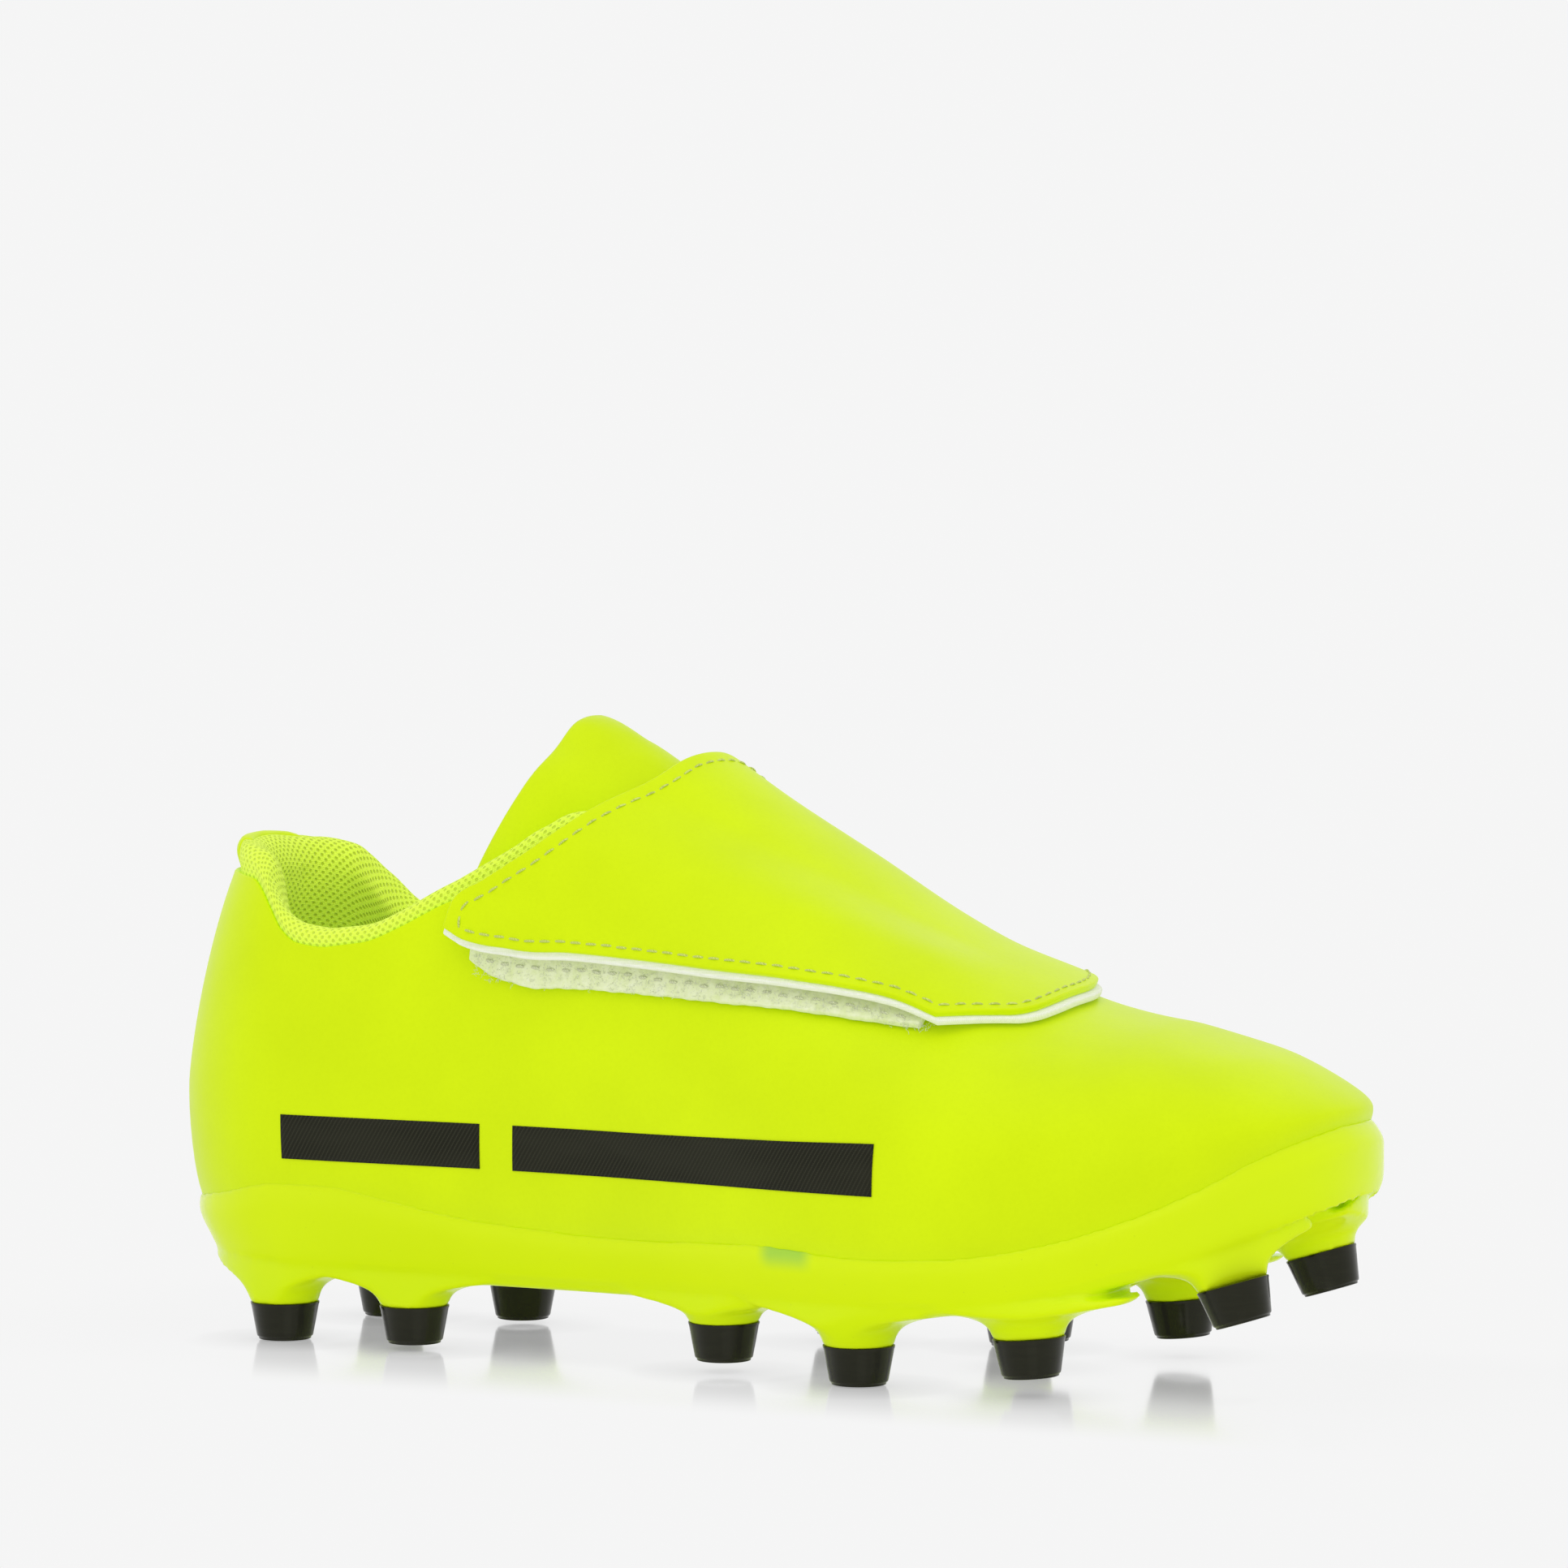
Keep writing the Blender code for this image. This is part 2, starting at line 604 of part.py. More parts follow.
# ------------------------------------------------------------------ strap
# edges in (x, degrees from the ridge; minus = lateral): the lateral edge, then the rear
# and front edges from it towards the root, without their shared corners
STRAP_LOW = [(60.5, -63.6), (64.4, -64.9), (68.5, -65.2), (73, -65), (82.3, -62.8),
             (89.5, -60.8), (100.2, -57.7), (110.8, -54.6), (122.2, -50), (128.6, -46.8),
             (136.3, -43.4), (140.5, -42.2), (144, -41.8)]
STRAP_REAR = [(61.7, -59.8), (66.7, -56.6), (73, -52), (78.6, -45.2), (85.4, -33.1),
              (89.2, -23.5), (91, -14), (92.5, -4), (94, 10), (97, 28)]
STRAP_FRONT = [(146.3, -38.6), (148.7, -35.3), (151.2, -32.4), (153.7, -29.4), (155.3, -23.6),
               (156, -14.8), (156, -5.2), (154.2, 6), (151.5, 16), (149.6, 25), (148, 33),
               (146.8, 39.5)]
STRAP_ROOT_X = (100.0, 146.0)
STRAP_ROOT_ANGLE = 46.0
STRAP_BASE_H = 0.4          # strap underside above the upper
STRAP_LIFT = 2.7            # extra height over the hook and loop pads
STRAP_TOTAL = 2.6           # strap underside to face
STRAP_BACK_OUT = 1.0        # strap underside to the backing's outer face
STRAP_FACE_T = 1.1
STRAP_BACK_T = 0.8
STRAP_DEG_MM = 0.55         # mm per degree when measuring along an edge
STRAP_STEPS = (10, 13)      # rear to front, lateral edge to root
PAD_STEPS = 3               # rows up each pad
PAD_TOP_CLEARANCE = 3.0     # least degrees between a pad and the topline

ROOT_REAR, ROOT_FRONT = (last_point(x, STRAP_ROOT_ANGLE, STRAP_BASE_H + STRAP_TOTAL)
                         for x in STRAP_ROOT_X)
STRAP_PIVOT = 0.5 * (ROOT_REAR + ROOT_FRONT)


def root_up():
    """Unit vector up the last at the middle of the root, square to the root axis."""
    axis = (ROOT_FRONT - ROOT_REAR) / np.linalg.norm(ROOT_FRONT - ROOT_REAR)
    middle_x = 0.5 * sum(STRAP_ROOT_X)
    up = (last_point(middle_x, STRAP_ROOT_ANGLE - 4, 3.0)
          - last_point(middle_x, STRAP_ROOT_ANGLE + 4, 3.0))
    up -= (up @ axis) * axis
    return up / np.linalg.norm(up)


ROOT_UP = root_up()


def root_angle(x):
    """Angle off the ridge where the strap's face is 0.25 above the root axis."""
    low, high = 25.0, 70.0
    for _ in range(40):
        middle = 0.5 * (low + high)
        face = last_point(x, middle, STRAP_BASE_H + STRAP_TOTAL)
        if (face - ROOT_REAR) @ ROOT_UP > 0.25:
            low = middle
        else:
            high = middle
    return 0.5 * (low + high)


ROOT = [(x, root_angle(x)) for x in np.linspace(*STRAP_ROOT_X, 7)]
REAR = [STRAP_LOW[0], *STRAP_REAR, ROOT[0]]
FRONT = [STRAP_LOW[-1], *STRAP_FRONT, ROOT[-1]]


def along(pts, t):
    """Point at fraction t of the length of an edge in (x, psi), spline smoothed."""
    edge = np.array(pts, float)
    dx, dpsi = np.diff(edge, axis=0).T
    run = np.concatenate([[0], np.cumsum(np.hypot(dx, STRAP_DEG_MM * dpsi))])
    run /= run[-1]
    return np.array([monotone(run, edge[:, 0], t), monotone(run, edge[:, 1], t)])


def strap_xy(a, b):
    """Coons patch: a from the rear edge to the front edge, b from the lateral edge to the root."""
    corners = ((1 - a) * (1 - b) * along(REAR, 0) + (1 - a) * b * along(REAR, 1)
               + a * (1 - b) * along(FRONT, 0) + a * b * along(FRONT, 1))
    return ((1 - a) * along(REAR, b) + a * along(FRONT, b)
            + (1 - b) * along(STRAP_LOW, a) + b * along(ROOT, a) - corners)


def strap_height(x, psi):
    above_edge = psi - tab(STRAP_LOW, x)
    lift = (1 - smooth(14, 34, above_edge)) * (1 - smooth(136, 150, x))
    return STRAP_BASE_H + STRAP_LIFT * lift


def strap_rows(extra):
    rows = []
    across, up = STRAP_STEPS
    for i in range(across + 1):
        stations = [strap_xy(i / across, j / up) for j in range(up + 1)]
        rows.append([last_point(x, psi, strap_height(x, psi) + extra) for x, psi in stations])
    return rows


def pad_rows(x_range, rise_range, off, steps, taper):
    """Pad above the strap's lateral edge: x range, range of degrees above that edge,
    and the degrees by which each end narrows."""
    rows = []
    for i in range(steps + 1):
        f = i / steps
        x = x_range[0] + (x_range[1] - x_range[0]) * f
        pinch = taper * (max(0.0, abs(2 * f - 1) - 0.7) / 0.3) ** 2
        edge = tab(STRAP_LOW, x)
        low = edge + rise_range[0] + pinch
        high = min(edge + rise_range[1] - pinch, tab(TOP_SIDE, x) - 90 - PAD_TOP_CLEARANCE)
        rows.append([last_point(x, low + (high - low) * j / PAD_STEPS, off)
                     for j in range(PAD_STEPS + 1)])
    return rows


def build_strap():
    solid_sheet("strap_face", strap_rows(STRAP_TOTAL), STRAP_FACE_T, "pu_upper",
                origin=STRAP_PIVOT)
    solid_sheet("strap_backing", strap_rows(STRAP_BACK_OUT), STRAP_BACK_T, "strap_backing",
                origin=STRAP_PIVOT)


def build_pads():
    loop = pad_rows((63.5, 141), (-3.6, 15), off=1.6, steps=12, taper=2.0)
    solid_sheet("quarter_loop_patch", loop, 1.1, "loop_pile")
    hook = pad_rows((72, 132), (2.5, 12.0), off=2.95, steps=9, taper=1.5)
    solid_sheet("strap_hook_pad", hook, 0.85, "hook_tape", origin=STRAP_PIVOT)


# ------------------------------------------------------------------ outsole and studs
STUD_TIP_TOP_R = 5.5
STUD_TIP_BOTTOM_R = 4.5
STUD_TIP_BEVEL = 0.35
STUD_TIP_H = 5.7
STUD_SEG = 12
STUD_LEAN_H = 11.0          # height up the stud at which the plate is met
# (share of the height from tip to plate, radius) of the flaring base
STUD_FLARE = [(0.35, 5.75), (0.62, 6.2), (0.84, 6.9), (1.0, 7.9)]
STUD_SINK = 0.9             # base carried on into the plate
# place, x, y, z of the contact face centre, lean of the foot towards the toe (deg)
STUDS = [
    ("heel_lateral_rear", 24.7, -17.0, 0.0, 0),
    ("heel_lateral_front", 48.9, -17.8, 0.8, 0),
    ("heel_medial_rear", 24.8, 16.9, 0.0, 0),
    ("heel_medial_front", 49.2, 17.8, 0.6, 0),
    ("ball_lateral_rear", 104.8, -20.3, 1.6, 0),
    ("ball_lateral_middle", 129.9, -25.0, 0.0, 0),
    ("ball_lateral_front", 158.1, -24.5, 2.7, 4),
    ("ball_medial_rear", 106.4, 19.4, 1.1, 0),
    ("ball_medial_middle", 133.8, 26.2, 0.0, 0),
    ("ball_medial_front", 162.3, 25.7, 3.1, 5),
    ("forefoot_centre", 147.2, 4.8, 4.0, 2),
    ("toe_lateral", 188.6, -15.9, 11.5, 17),
    ("toe_medial", 192.2, 11.6, 13.5, 17),
]


def build_outsole():
    """Plate with a wall standing up round the upper; the wall thickens at the toe."""
    under, over = [], []
    for r in LOOP:
        edge = r.angle_at_z(tab(WALL_Z, r.x))
        sole = r.sole_width
        lip = TOE_LIP * smooth(60, 10, abs(r.azimuth)) if r.region == 'toe' else 0.0
        outer = [r.at(edge, WALL_T + GAP)]
        for f in (0.16, 0.5, 0.86):
            angle = edge + (-90 - edge) * f
            # the lip uses the wall's top edge angle, so it is constant down the wall
            outer.append(r.at(angle, WALL_T + GAP + lip * (0.5 + 0.5 * smooth(-90, -40, edge))))
        outer += [r.plate(sole + 0.6, 0.9), r.plate(sole - 1.2, 0.0),
                  r.plate(sole * 0.6, 0.0), r.plate(0.0, 0.0)]
        corner = r.at(-90, GAP + 0.15)
        corner[2] = r.plate(sole, PLATE_T)[2]
        inner = [r.at(edge, GAP), r.at(edge + (-90 - edge) * 0.5, GAP + 0.1), corner,
                 r.plate(sole * 0.6, PLATE_T), r.plate(0.0, PLATE_T)]
        under.append(outer)
        over.append(inner)
    return disk("outsole_plate", under, over, "tpu_outsole")


def build_stud_tip(place, at, lean):
    profile = [(0.0, 0.0), (STUD_TIP_BOTTOM_R - STUD_TIP_BEVEL, 0.0),
               (STUD_TIP_BOTTOM_R, STUD_TIP_BEVEL), (STUD_TIP_TOP_R, STUD_TIP_H),
               (0.0, STUD_TIP_H)]
    lathe("stud_tip_" + place, profile, at, lean, PARTS, "stud_black")


def build_stud_base(place, at, lean):
    """Base from just above the tip up into the plate, to be joined to the outsole."""
    x, _, z = at
    turn = radians(lean)
    rise = (tab(PLATE_Z, x - sin(turn) * STUD_LEAN_H) - z) / cos(turn)
    bottom = STUD_TIP_H + GAP
    profile = [(0.0, bottom), (STUD_TIP_TOP_R, bottom)]
    profile += [(radius, bottom + (rise - bottom) * f) for f, radius in STUD_FLARE]
    profile += [(STUD_FLARE[-1][1], rise + STUD_SINK), (0.0, rise + STUD_SINK)]
    base = lathe("base_" + place, profile, at, lean, CUTTERS, "tpu_outsole")
    base.hide_render = True
    base.display_type = 'WIRE'
    return base


def build_studs(sole):
    for place, x, y, z, lean in STUDS:
        build_stud_tip(place, (x, y, z), lean)
        base = build_stud_base(place, (x, y, z), lean)
        mod = sole.modifiers.new("join_" + base.name, 'BOOLEAN')
        mod.operation = 'UNION'
        mod.solver = 'EXACT'
        mod.object = base


build_upper()
build_upper_lining()
build_heel_counter()
build_toe_puff()
build_collar()
build_heel_tab()
build_insole()
build_tongue()
build_strap()
build_pads()
build_studs(build_outsole())
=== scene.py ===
"""A studded boot: moulded sole with turned studs, padded mesh collar, tongue and a wide strap.

The shape is worked out in millimetres in the frame of the last: x runs from the heel (0) to
the toe (200), -y is the lateral side, +y the medial side, and z is up from the ground.
to_metres() moves it into the scene. Above the widest level an angle climbs each section to the
ridge at 90; below it the angle falls to the sole edge at -90. psi is counted in degrees off
the ridge, minus on the lateral side.
"""
from functools import lru_cache
from math import radians, degrees, sin, cos, pi, sqrt, atan2

import bmesh
import bpy
import numpy as np
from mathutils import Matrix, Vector
from mathutils.geometry import delaunay_2d_cdt
from numpy.linalg import norm


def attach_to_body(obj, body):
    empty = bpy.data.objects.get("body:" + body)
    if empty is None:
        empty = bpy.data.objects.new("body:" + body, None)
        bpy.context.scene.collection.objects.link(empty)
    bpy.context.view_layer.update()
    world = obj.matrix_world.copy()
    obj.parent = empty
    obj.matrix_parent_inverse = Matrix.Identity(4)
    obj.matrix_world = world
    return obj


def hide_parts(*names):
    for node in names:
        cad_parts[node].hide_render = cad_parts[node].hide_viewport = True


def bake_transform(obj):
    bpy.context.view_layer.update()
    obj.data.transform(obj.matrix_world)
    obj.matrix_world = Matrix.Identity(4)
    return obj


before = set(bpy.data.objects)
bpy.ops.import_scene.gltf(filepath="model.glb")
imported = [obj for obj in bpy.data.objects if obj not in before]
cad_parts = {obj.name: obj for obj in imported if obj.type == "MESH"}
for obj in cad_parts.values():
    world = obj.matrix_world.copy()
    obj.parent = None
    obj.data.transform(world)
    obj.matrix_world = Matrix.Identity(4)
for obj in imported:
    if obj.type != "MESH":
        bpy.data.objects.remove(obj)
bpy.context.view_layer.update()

stitch_rng = np.random.RandomState(11)


# ============================================================ curves
def hermite(t, start, start_pull, end, end_pull):
    return ((2 * t**3 - 3 * t**2 + 1) * start + (t**3 - 2 * t**2 + t) * start_pull
            + (-2 * t**3 + 3 * t**2) * end + (t**3 - t**2) * end_pull)


def monotone_curve(points):
    """function through (x, value) points that adds no bumps and is flat outside them"""
    table = np.array(points, float)
    xs, values = table[:, 0], table[:, 1]
    gaps = np.diff(xs)
    slopes = np.diff(values) / gaps
    tangents = np.zeros(len(xs))
    tangents[0], tangents[-1] = slopes[0], slopes[-1]
    for i in range(1, len(xs) - 1):
        before, after = slopes[i - 1], slopes[i]
        if before * after > 0:
            weight_0 = 2 * gaps[i] + gaps[i - 1]
            weight_1 = gaps[i] + 2 * gaps[i - 1]
            tangents[i] = (weight_0 + weight_1) / (weight_0 / before + weight_1 / after)

    def value_at(x):
        x = np.clip(x, xs[0], xs[-1])
        k = int(np.clip(np.searchsorted(xs, x, side='right') - 1, 0, len(xs) - 2))
        return float(hermite((x - xs[k]) / gaps[k], values[k], gaps[k] * tangents[k],
                             values[k + 1], gaps[k] * tangents[k + 1]))
    return value_at


def closed_spline(points, count):
    """smooth closed loop through the points, count samples per span"""
    table = np.array(points, float)
    size = len(table)
    samples = []
    for i in range(size):
        before, start = table[i - 1], table[i]
        end, after = table[(i + 1) % size], table[(i + 2) % size]
        chord = norm(end - start)
        start_pull = (end - before) / (norm(start - before) + chord) * chord
        end_pull = (after - start) / (norm(after - end) + chord) * chord
        samples += [hermite(k / count, start, start_pull, end, end_pull) for k in range(count)]
    return np.array(samples)


def even_spline(points, count):
    """Catmull-Rom through the points: count samples even in arc length, and the length"""
    points = np.array(points, float)
    ext = np.vstack([2 * points[0] - points[1], points, 2 * points[-1] - points[-2]])
    fine = []
    for i in range(1, len(ext) - 2):
        for k in range(12):
            t = k / 12
            fine.append(0.5 * ((2 * ext[i]) + (-ext[i - 1] + ext[i + 1]) * t
                               + (2 * ext[i - 1] - 5 * ext[i] + 4 * ext[i + 1] - ext[i + 2]) * t**2
                               + (-ext[i - 1] + 3 * ext[i] - 3 * ext[i + 1] + ext[i + 2]) * t**3))
    fine.append(points[-1])
    fine = np.array(fine)
    arc = arc_lengths(fine)
    return resample(np.linspace(0, arc[-1], count), arc, fine), arc[-1]


def arc_lengths(points):
    return np.concatenate([[0], np.cumsum(norm(np.diff(points, axis=0), axis=1))])


def resample(at, arc, rows):
    return np.stack([np.interp(at, arc, rows[:, i]) for i in range(3)], 1)


def smooth(low, high, x):
    """smoothstep, 0 at low and 1 at high"""
    t = np.clip((float(x) - low) / (high - low), 0.0, 1.0)
    return float(t * t * (3 - 2 * t))


def unit(vector):
    return vector / (norm(vector) + 1e-12)


# ============================================================ the last
MM = 0.001
ORIGIN = (101.288, -1.08)       # point of the last that lies over the scene's origin
HEEL_CENTRE = (27.0, 0.0)       # sections fan round these two centres
TOE_CENTRE = (170.0, 3.0)
HEEL_X, TOE_X = HEEL_CENTRE[0], TOE_CENTRE[0]
HEEL_RUN, TOE_RUN = 42.0, 45.0  # lengths given to the two fans in the UV maps
SPINE_MID_Z = 36.0

# plan outline of the widest level (x, y)
OUTLINE_POINTS = [
    (1.0, 0), (3.2, -11.0), (10.0, -20.2), (18.6, -25.3), (27, -27.0), (45, -27.5),
    (65, -27.5), (85, -29), (105, -32.5), (125, -36.5), (143, -38.2), (160, -36.5),
    (175, -30.5), (187.5, -21.2), (196, -9.5), (199.6, 3), (198, 14.5), (191.5, 24.5),
    (179, 31.6), (163, 35.2), (147, 36), (130, 34.5), (112, 30.5), (95, 26.5),
    (78, 24.5), (60, 24.8), (42, 26.3), (27, 26.8), (18.6, 25.1), (10.0, 20.1), (3.2, 11.0)]
# curves along x
spine_y = monotone_curve([(0, 0), (27, 0), (60, 1.5), (90, 3), (130, 3.5), (170, 3)])
ridge_z = monotone_curve([
    (27, 90), (45, 100), (58, 104), (70, 103.6), (80, 99.4), (92, 92.0), (103.4, 84.5),
    (117.5, 76.0), (131.4, 67.2), (139.6, 62.9), (149, 59.5), (157, 56.8), (166.6, 54.8),
    (170, 54.4)])
widest_z = monotone_curve([
    (0, 40), (27, 38), (60, 34), (100, 30), (140, 30), (165, 32.5), (180, 36.5), (192, 40.5),
    (199, 42.3)])
plate_z = monotone_curve([      # underside of the outsole plate
    (0, 12.5), (10, 11.5), (27, 11.5), (60, 10.8), (100, 11), (140, 11.5), (152, 12.4),
    (163, 14.3), (172, 16.8), (182, 20), (191, 24.5), (199, 30)])
wall_z = monotone_curve([       # top edge of the outsole wall
    (0, 21.9), (15.5, 24.3), (29, 26.5), (38, 26.5), (46.7, 25.0), (67, 22.0), (90, 20.9),
    (118, 21.8), (134, 20.9), (149, 21.6), (159.5, 23.2), (176, 28.2), (185, 32.5), (192, 36.8),
    (199, 40.3)])
foot_inset = monotone_curve([   # how far the sole edge lies inside the outline
    (0, 5.0), (10, 5.2), (27, 5.6), (60, 6), (100, 6), (140, 5), (170, 4.6), (199, 3.0)])
rise_power = monotone_curve([   # squareness of the section, in height and in width
    (0, 1.0), (92, 1.0), (120, 0.97), (145, 0.92), (170, 0.95), (199, 1.0)])
width_power = monotone_curve([
    (0, 1.0), (60, 1.0), (92, 1.02), (120, 1.0), (145, 0.94), (170, 0.92), (199, 1.0)])
roll_height = monotone_curve([  # collar roll
    (0, 8.2), (14, 7.2), (22, 5.4), (27, 4.6), (45, 3.8), (56, 4.2), (65, 5.6), (76, 6.2), (90, 4.5)])
roll_thickness = monotone_curve([(0, 6.2), (27, 5.6), (45, 5.0), (62, 4.4), (90, 3.6)])
# angle of the upper's top edge: by heel fan angle, then by x along the sides
heel_top = monotone_curve([
    (0, 44.5), (24, 44), (50, 43.6), (66, 43), (74, 41), (82, 37.5), (90, 33)])
side_top = monotone_curve([
    (27, 33), (30, 29.5), (33, 28), (37, 26.9), (43, 26.7), (49, 28.2), (57, 31.5), (65, 35.5),
    (73, 41.5), (78, 47), (84, 53), (92, 60), (100, 65), (108, 69), (116, 74), (122, 81), (126, 90)])
OPENING_FRONT_X = 126
COLLAR_FRONT_X = 86.0

HEEL_FLAT, TOE_TUCK, TOE_TILT = 1.3, 2.1, 0.23
REBATE = 1.2                    # step in the side that houses the outsole wall
WALL_T, PLATE_T, GAP, UPPER_T, BOARD_T = 1.3, 3.1, 0.3, 1.2, 1.5
WALL_OUT = WALL_T + GAP

OUTLINE = closed_spline(OUTLINE_POINTS, 30)
for _ in range(60):
    OUTLINE = 0.5 * OUTLINE + 0.25 * (np.roll(OUTLINE, 1, 0) + np.roll(OUTLINE, -1, 0))


def outline_distance(centre, out):
    """distance from a centre to the outline in direction out"""
    starts = OUTLINE - centre
    ends = np.roll(OUTLINE, -1, 0) - centre
    across = np.array([-out[1], out[0]])
    start_side, end_side = starts @ across, ends @ across
    reaches = []
    for i in np.where((start_side * end_side <= 0) & (start_side != end_side))[0]:
        t = start_side[i] / (start_side[i] - end_side[i])
        reaches.append((starts[i] + t * (ends[i] - starts[i])) @ out)
    return min(reach for reach in reaches if reach > 0)


class Rib:
    """One half section of the last, from the spine outwards.

    kind 'heel' or 'toe': place is the fan angle from straight back or straight ahead, minus
    on the lateral side. kind 'side': place is (side, x), side -1 for lateral.
    """

    def __init__(self, kind, place):
        self.kind, self.place = kind, place
        if kind == 'side':
            side, spine_x = place
            centre, out = (spine_x, spine_y(spine_x)), (0.0, float(side))
            self.facing = 0.0
            self.top = side_top(spine_x) if spine_x < OPENING_FRONT_X else 90.0
            self.run = spine_x
        else:
            turn = radians(place)
            self.facing = cos(turn)     # 1 straight back or ahead, 0 where the sides begin
            if kind == 'heel':
                centre, out = HEEL_CENTRE, (-cos(turn), sin(turn))
                self.top = heel_top(abs(place))
                self.run = HEEL_X - HEEL_RUN + abs(place) / 90 * HEEL_RUN
            else:
                centre, out = TOE_CENTRE, (cos(turn), sin(turn))
                self.top = 90.0
                self.run = TOE_X + (90 - abs(place)) / 90 * TOE_RUN
            spine_x = centre[0]
        self.centre, self.out = np.array(centre, float), np.array(out, float)
        self.width = outline_distance(self.centre, self.out)
        self.x = self.centre[0] + self.out[0] * self.width
        self.foot = self.width - foot_inset(self.x)
        self.ridge_z, self.widest_z = ridge_z(spine_x), widest_z(self.x)
        self.foot_z = plate_z(self.centre[0] + self.out[0] * self.foot) + PLATE_T + GAP
        self.rebate_at = max(0.13, (self.widest_z - wall_z(self.x)) / (self.widest_z - self.foot_z))
        self.rise_power, self.width_power = rise_power(self.x), width_power(self.x)

    def at(self, angle, offset=0.0, rebate=REBATE):
        """point at an angle, offset outwards from the last"""
        width = self.width + offset
        ridge, foot_z_out = self.ridge_z + offset, self.foot_z - offset
        foot = self.foot + offset
        if angle >= 0:
            turn = radians(min(angle, 90.0))
            z = self.widest_z + (ridge - self.widest_z) * max(sin(turn), 0.0) ** self.rise_power
            reach = 0.0 if angle >= 89.999 else width * max(cos(turn), 0.0) ** self.width_power
            if self.kind == 'heel':
                reach -= HEEL_FLAT * self.facing * sin(pi * min(1.0, angle / 50.0))
            if self.kind == 'toe':
                reach -= TOE_TUCK * self.facing * sin(pi * min(1.0, angle / 55.0))
                z -= TOE_TILT * self.facing * reach * (1 - (reach / width) ** 2)
        else:
            down = min(1.0, -angle / 90.0)
            z = self.widest_z - (self.widest_z - foot_z_out) * down
            reach = (width - (width - foot - REBATE) * down ** 2.2
                     - rebate * smooth(self.rebate_at - 0.05, self.rebate_at, down))
        return self.point(reach, z)

    def point(self, reach, z):
        x, y = self.centre + self.out * reach
        return np.array([x, y, z])

    def on_plate(self, reach, height):
        """point at a height above the plate's underside"""
        return self.point(reach, plate_z(self.centre[0] + self.out[0] * reach) + height)

    def degrees_per_mm(self, angle):
        step = self.at(angle + 0.5) - self.at(angle - 0.5)
        return 1.0 / max(1e-6, float(norm(step)))

    def angle_at_z(self, z):
        """angle of a height below the widest level"""
        return -90.0 * (self.widest_z - z) / (self.widest_z - self.foot_z)

    def angle_for(self, height):
        """angle at a true height below the widest level, at a height along the girth above it"""
        if height < self.widest_z:
            return self.angle_at_z(height)
        return min(89.5, degrees((height - self.widest_z) / (self.ridge_z - self.widest_z)))


@lru_cache(None)
def rib(kind, place):
    return Rib(kind, place)


def surface(x, psi, offset):
    """point at station x, psi degrees off the ridge"""
    return rib('side', (-1 if psi < 0 else 1, round(float(x), 3))).at(90.0 - abs(psi), offset)


def side_surface(x, height, offset, side):
    section = rib('side', (side, round(x, 3)))
    return section.at(section.angle_for(height), offset)


def point_and_normal(surface_fn, x, psi, step=0.4):
    """point and outward unit normal of a surface given by (x, psi)"""
    point = surface_fn(x, psi)
    along = surface_fn(x + step, psi) - surface_fn(x - step, psi)
    around = surface_fn(x, psi + step) - surface_fn(x, psi - step)
    normal = unit(np.cross(along, around))
    outwards = point - np.array([point[0], spine_y(point[0]), SPINE_MID_Z])
    return point, (normal if normal @ outwards > 0 else -normal)


def rib_loop(heel_steps, toe_steps, stations):
    """ribs all round: back of the heel, lateral side, toe, medial side, heel"""
    ribs = [rib('heel', -90 * i / heel_steps) for i in range(heel_steps + 1)]
    ribs += [rib('side', (-1, x)) for x in stations]
    ribs += [rib('toe', -90 + 90 * i / toe_steps) for i in range(toe_steps + 1)]
    ribs += [rib('toe', 90 * i / toe_steps) for i in range(1, toe_steps + 1)]
    ribs += [rib('side', (1, x)) for x in stations[::-1]]
    ribs += [rib('heel', 90 - 90 * i / heel_steps) for i in range(heel_steps)]
    return ribs


def side_stations(step, start=HEEL_X, end=TOE_X):
    count = int(round((end - start) / step))
    return [round(start + (end - start) * i / count, 3) for i in range(1, count)]


def lining_offset(x):
    return -1.9 - 1.4 * (1 - smooth(88, 104, x)) - 1.3 * smooth(140, 152, x)


# ============================================================ mesh helpers
def to_metres(points):
    points = np.asarray(points, float).reshape(-1, 3)
    return np.stack([(points[:, 0] - ORIGIN[0]) * MM, (points[:, 1] - ORIGIN[1]) * MM,
                     points[:, 2] * MM], 1)


def to_scene(point):
    return Vector(to_metres([point])[0])


def scene_x(x):
    return (x - ORIGIN[0]) * MM


def last_x(point):
    """x on the last of a point in the scene"""
    return point.x / MM + ORIGIN[0]


def link_object(name, data):
    ob = bpy.data.objects.new(name, data)
    bpy.context.scene.collection.objects.link(ob)
    return ob


def new_mesh(name, points, faces, material, uv=None, face_slots=None, weld=False):
    mesh = bpy.data.meshes.new(name)
    mesh.from_pydata([tuple(p) for p in to_metres(points)], [], faces)
    ob = link_object(name, mesh)
    for each in material if isinstance(material, list) else [material]:
        mesh.materials.append(each)
    if uv is not None:
        layer = mesh.uv_layers.new(name="UVMap")
        corners = np.zeros(len(mesh.loops), np.int32)
        mesh.loops.foreach_get("vertex_index", corners)
        layer.data.foreach_set("uv", np.asarray(uv, np.float32)[corners].ravel())
    if face_slots is not None:
        mesh.polygons.foreach_set("material_index", np.asarray(face_slots, np.int32))
    if weld:
        bm = bmesh.new()
        bm.from_mesh(mesh)
        bmesh.ops.remove_doubles(bm, verts=bm.verts, dist=2e-6)
        bmesh.ops.dissolve_degenerate(bm, dist=1e-6, edges=bm.edges)
        bm.to_mesh(mesh)
        bm.free()
    mesh.shade_smooth()
    mesh.update()
    return ob


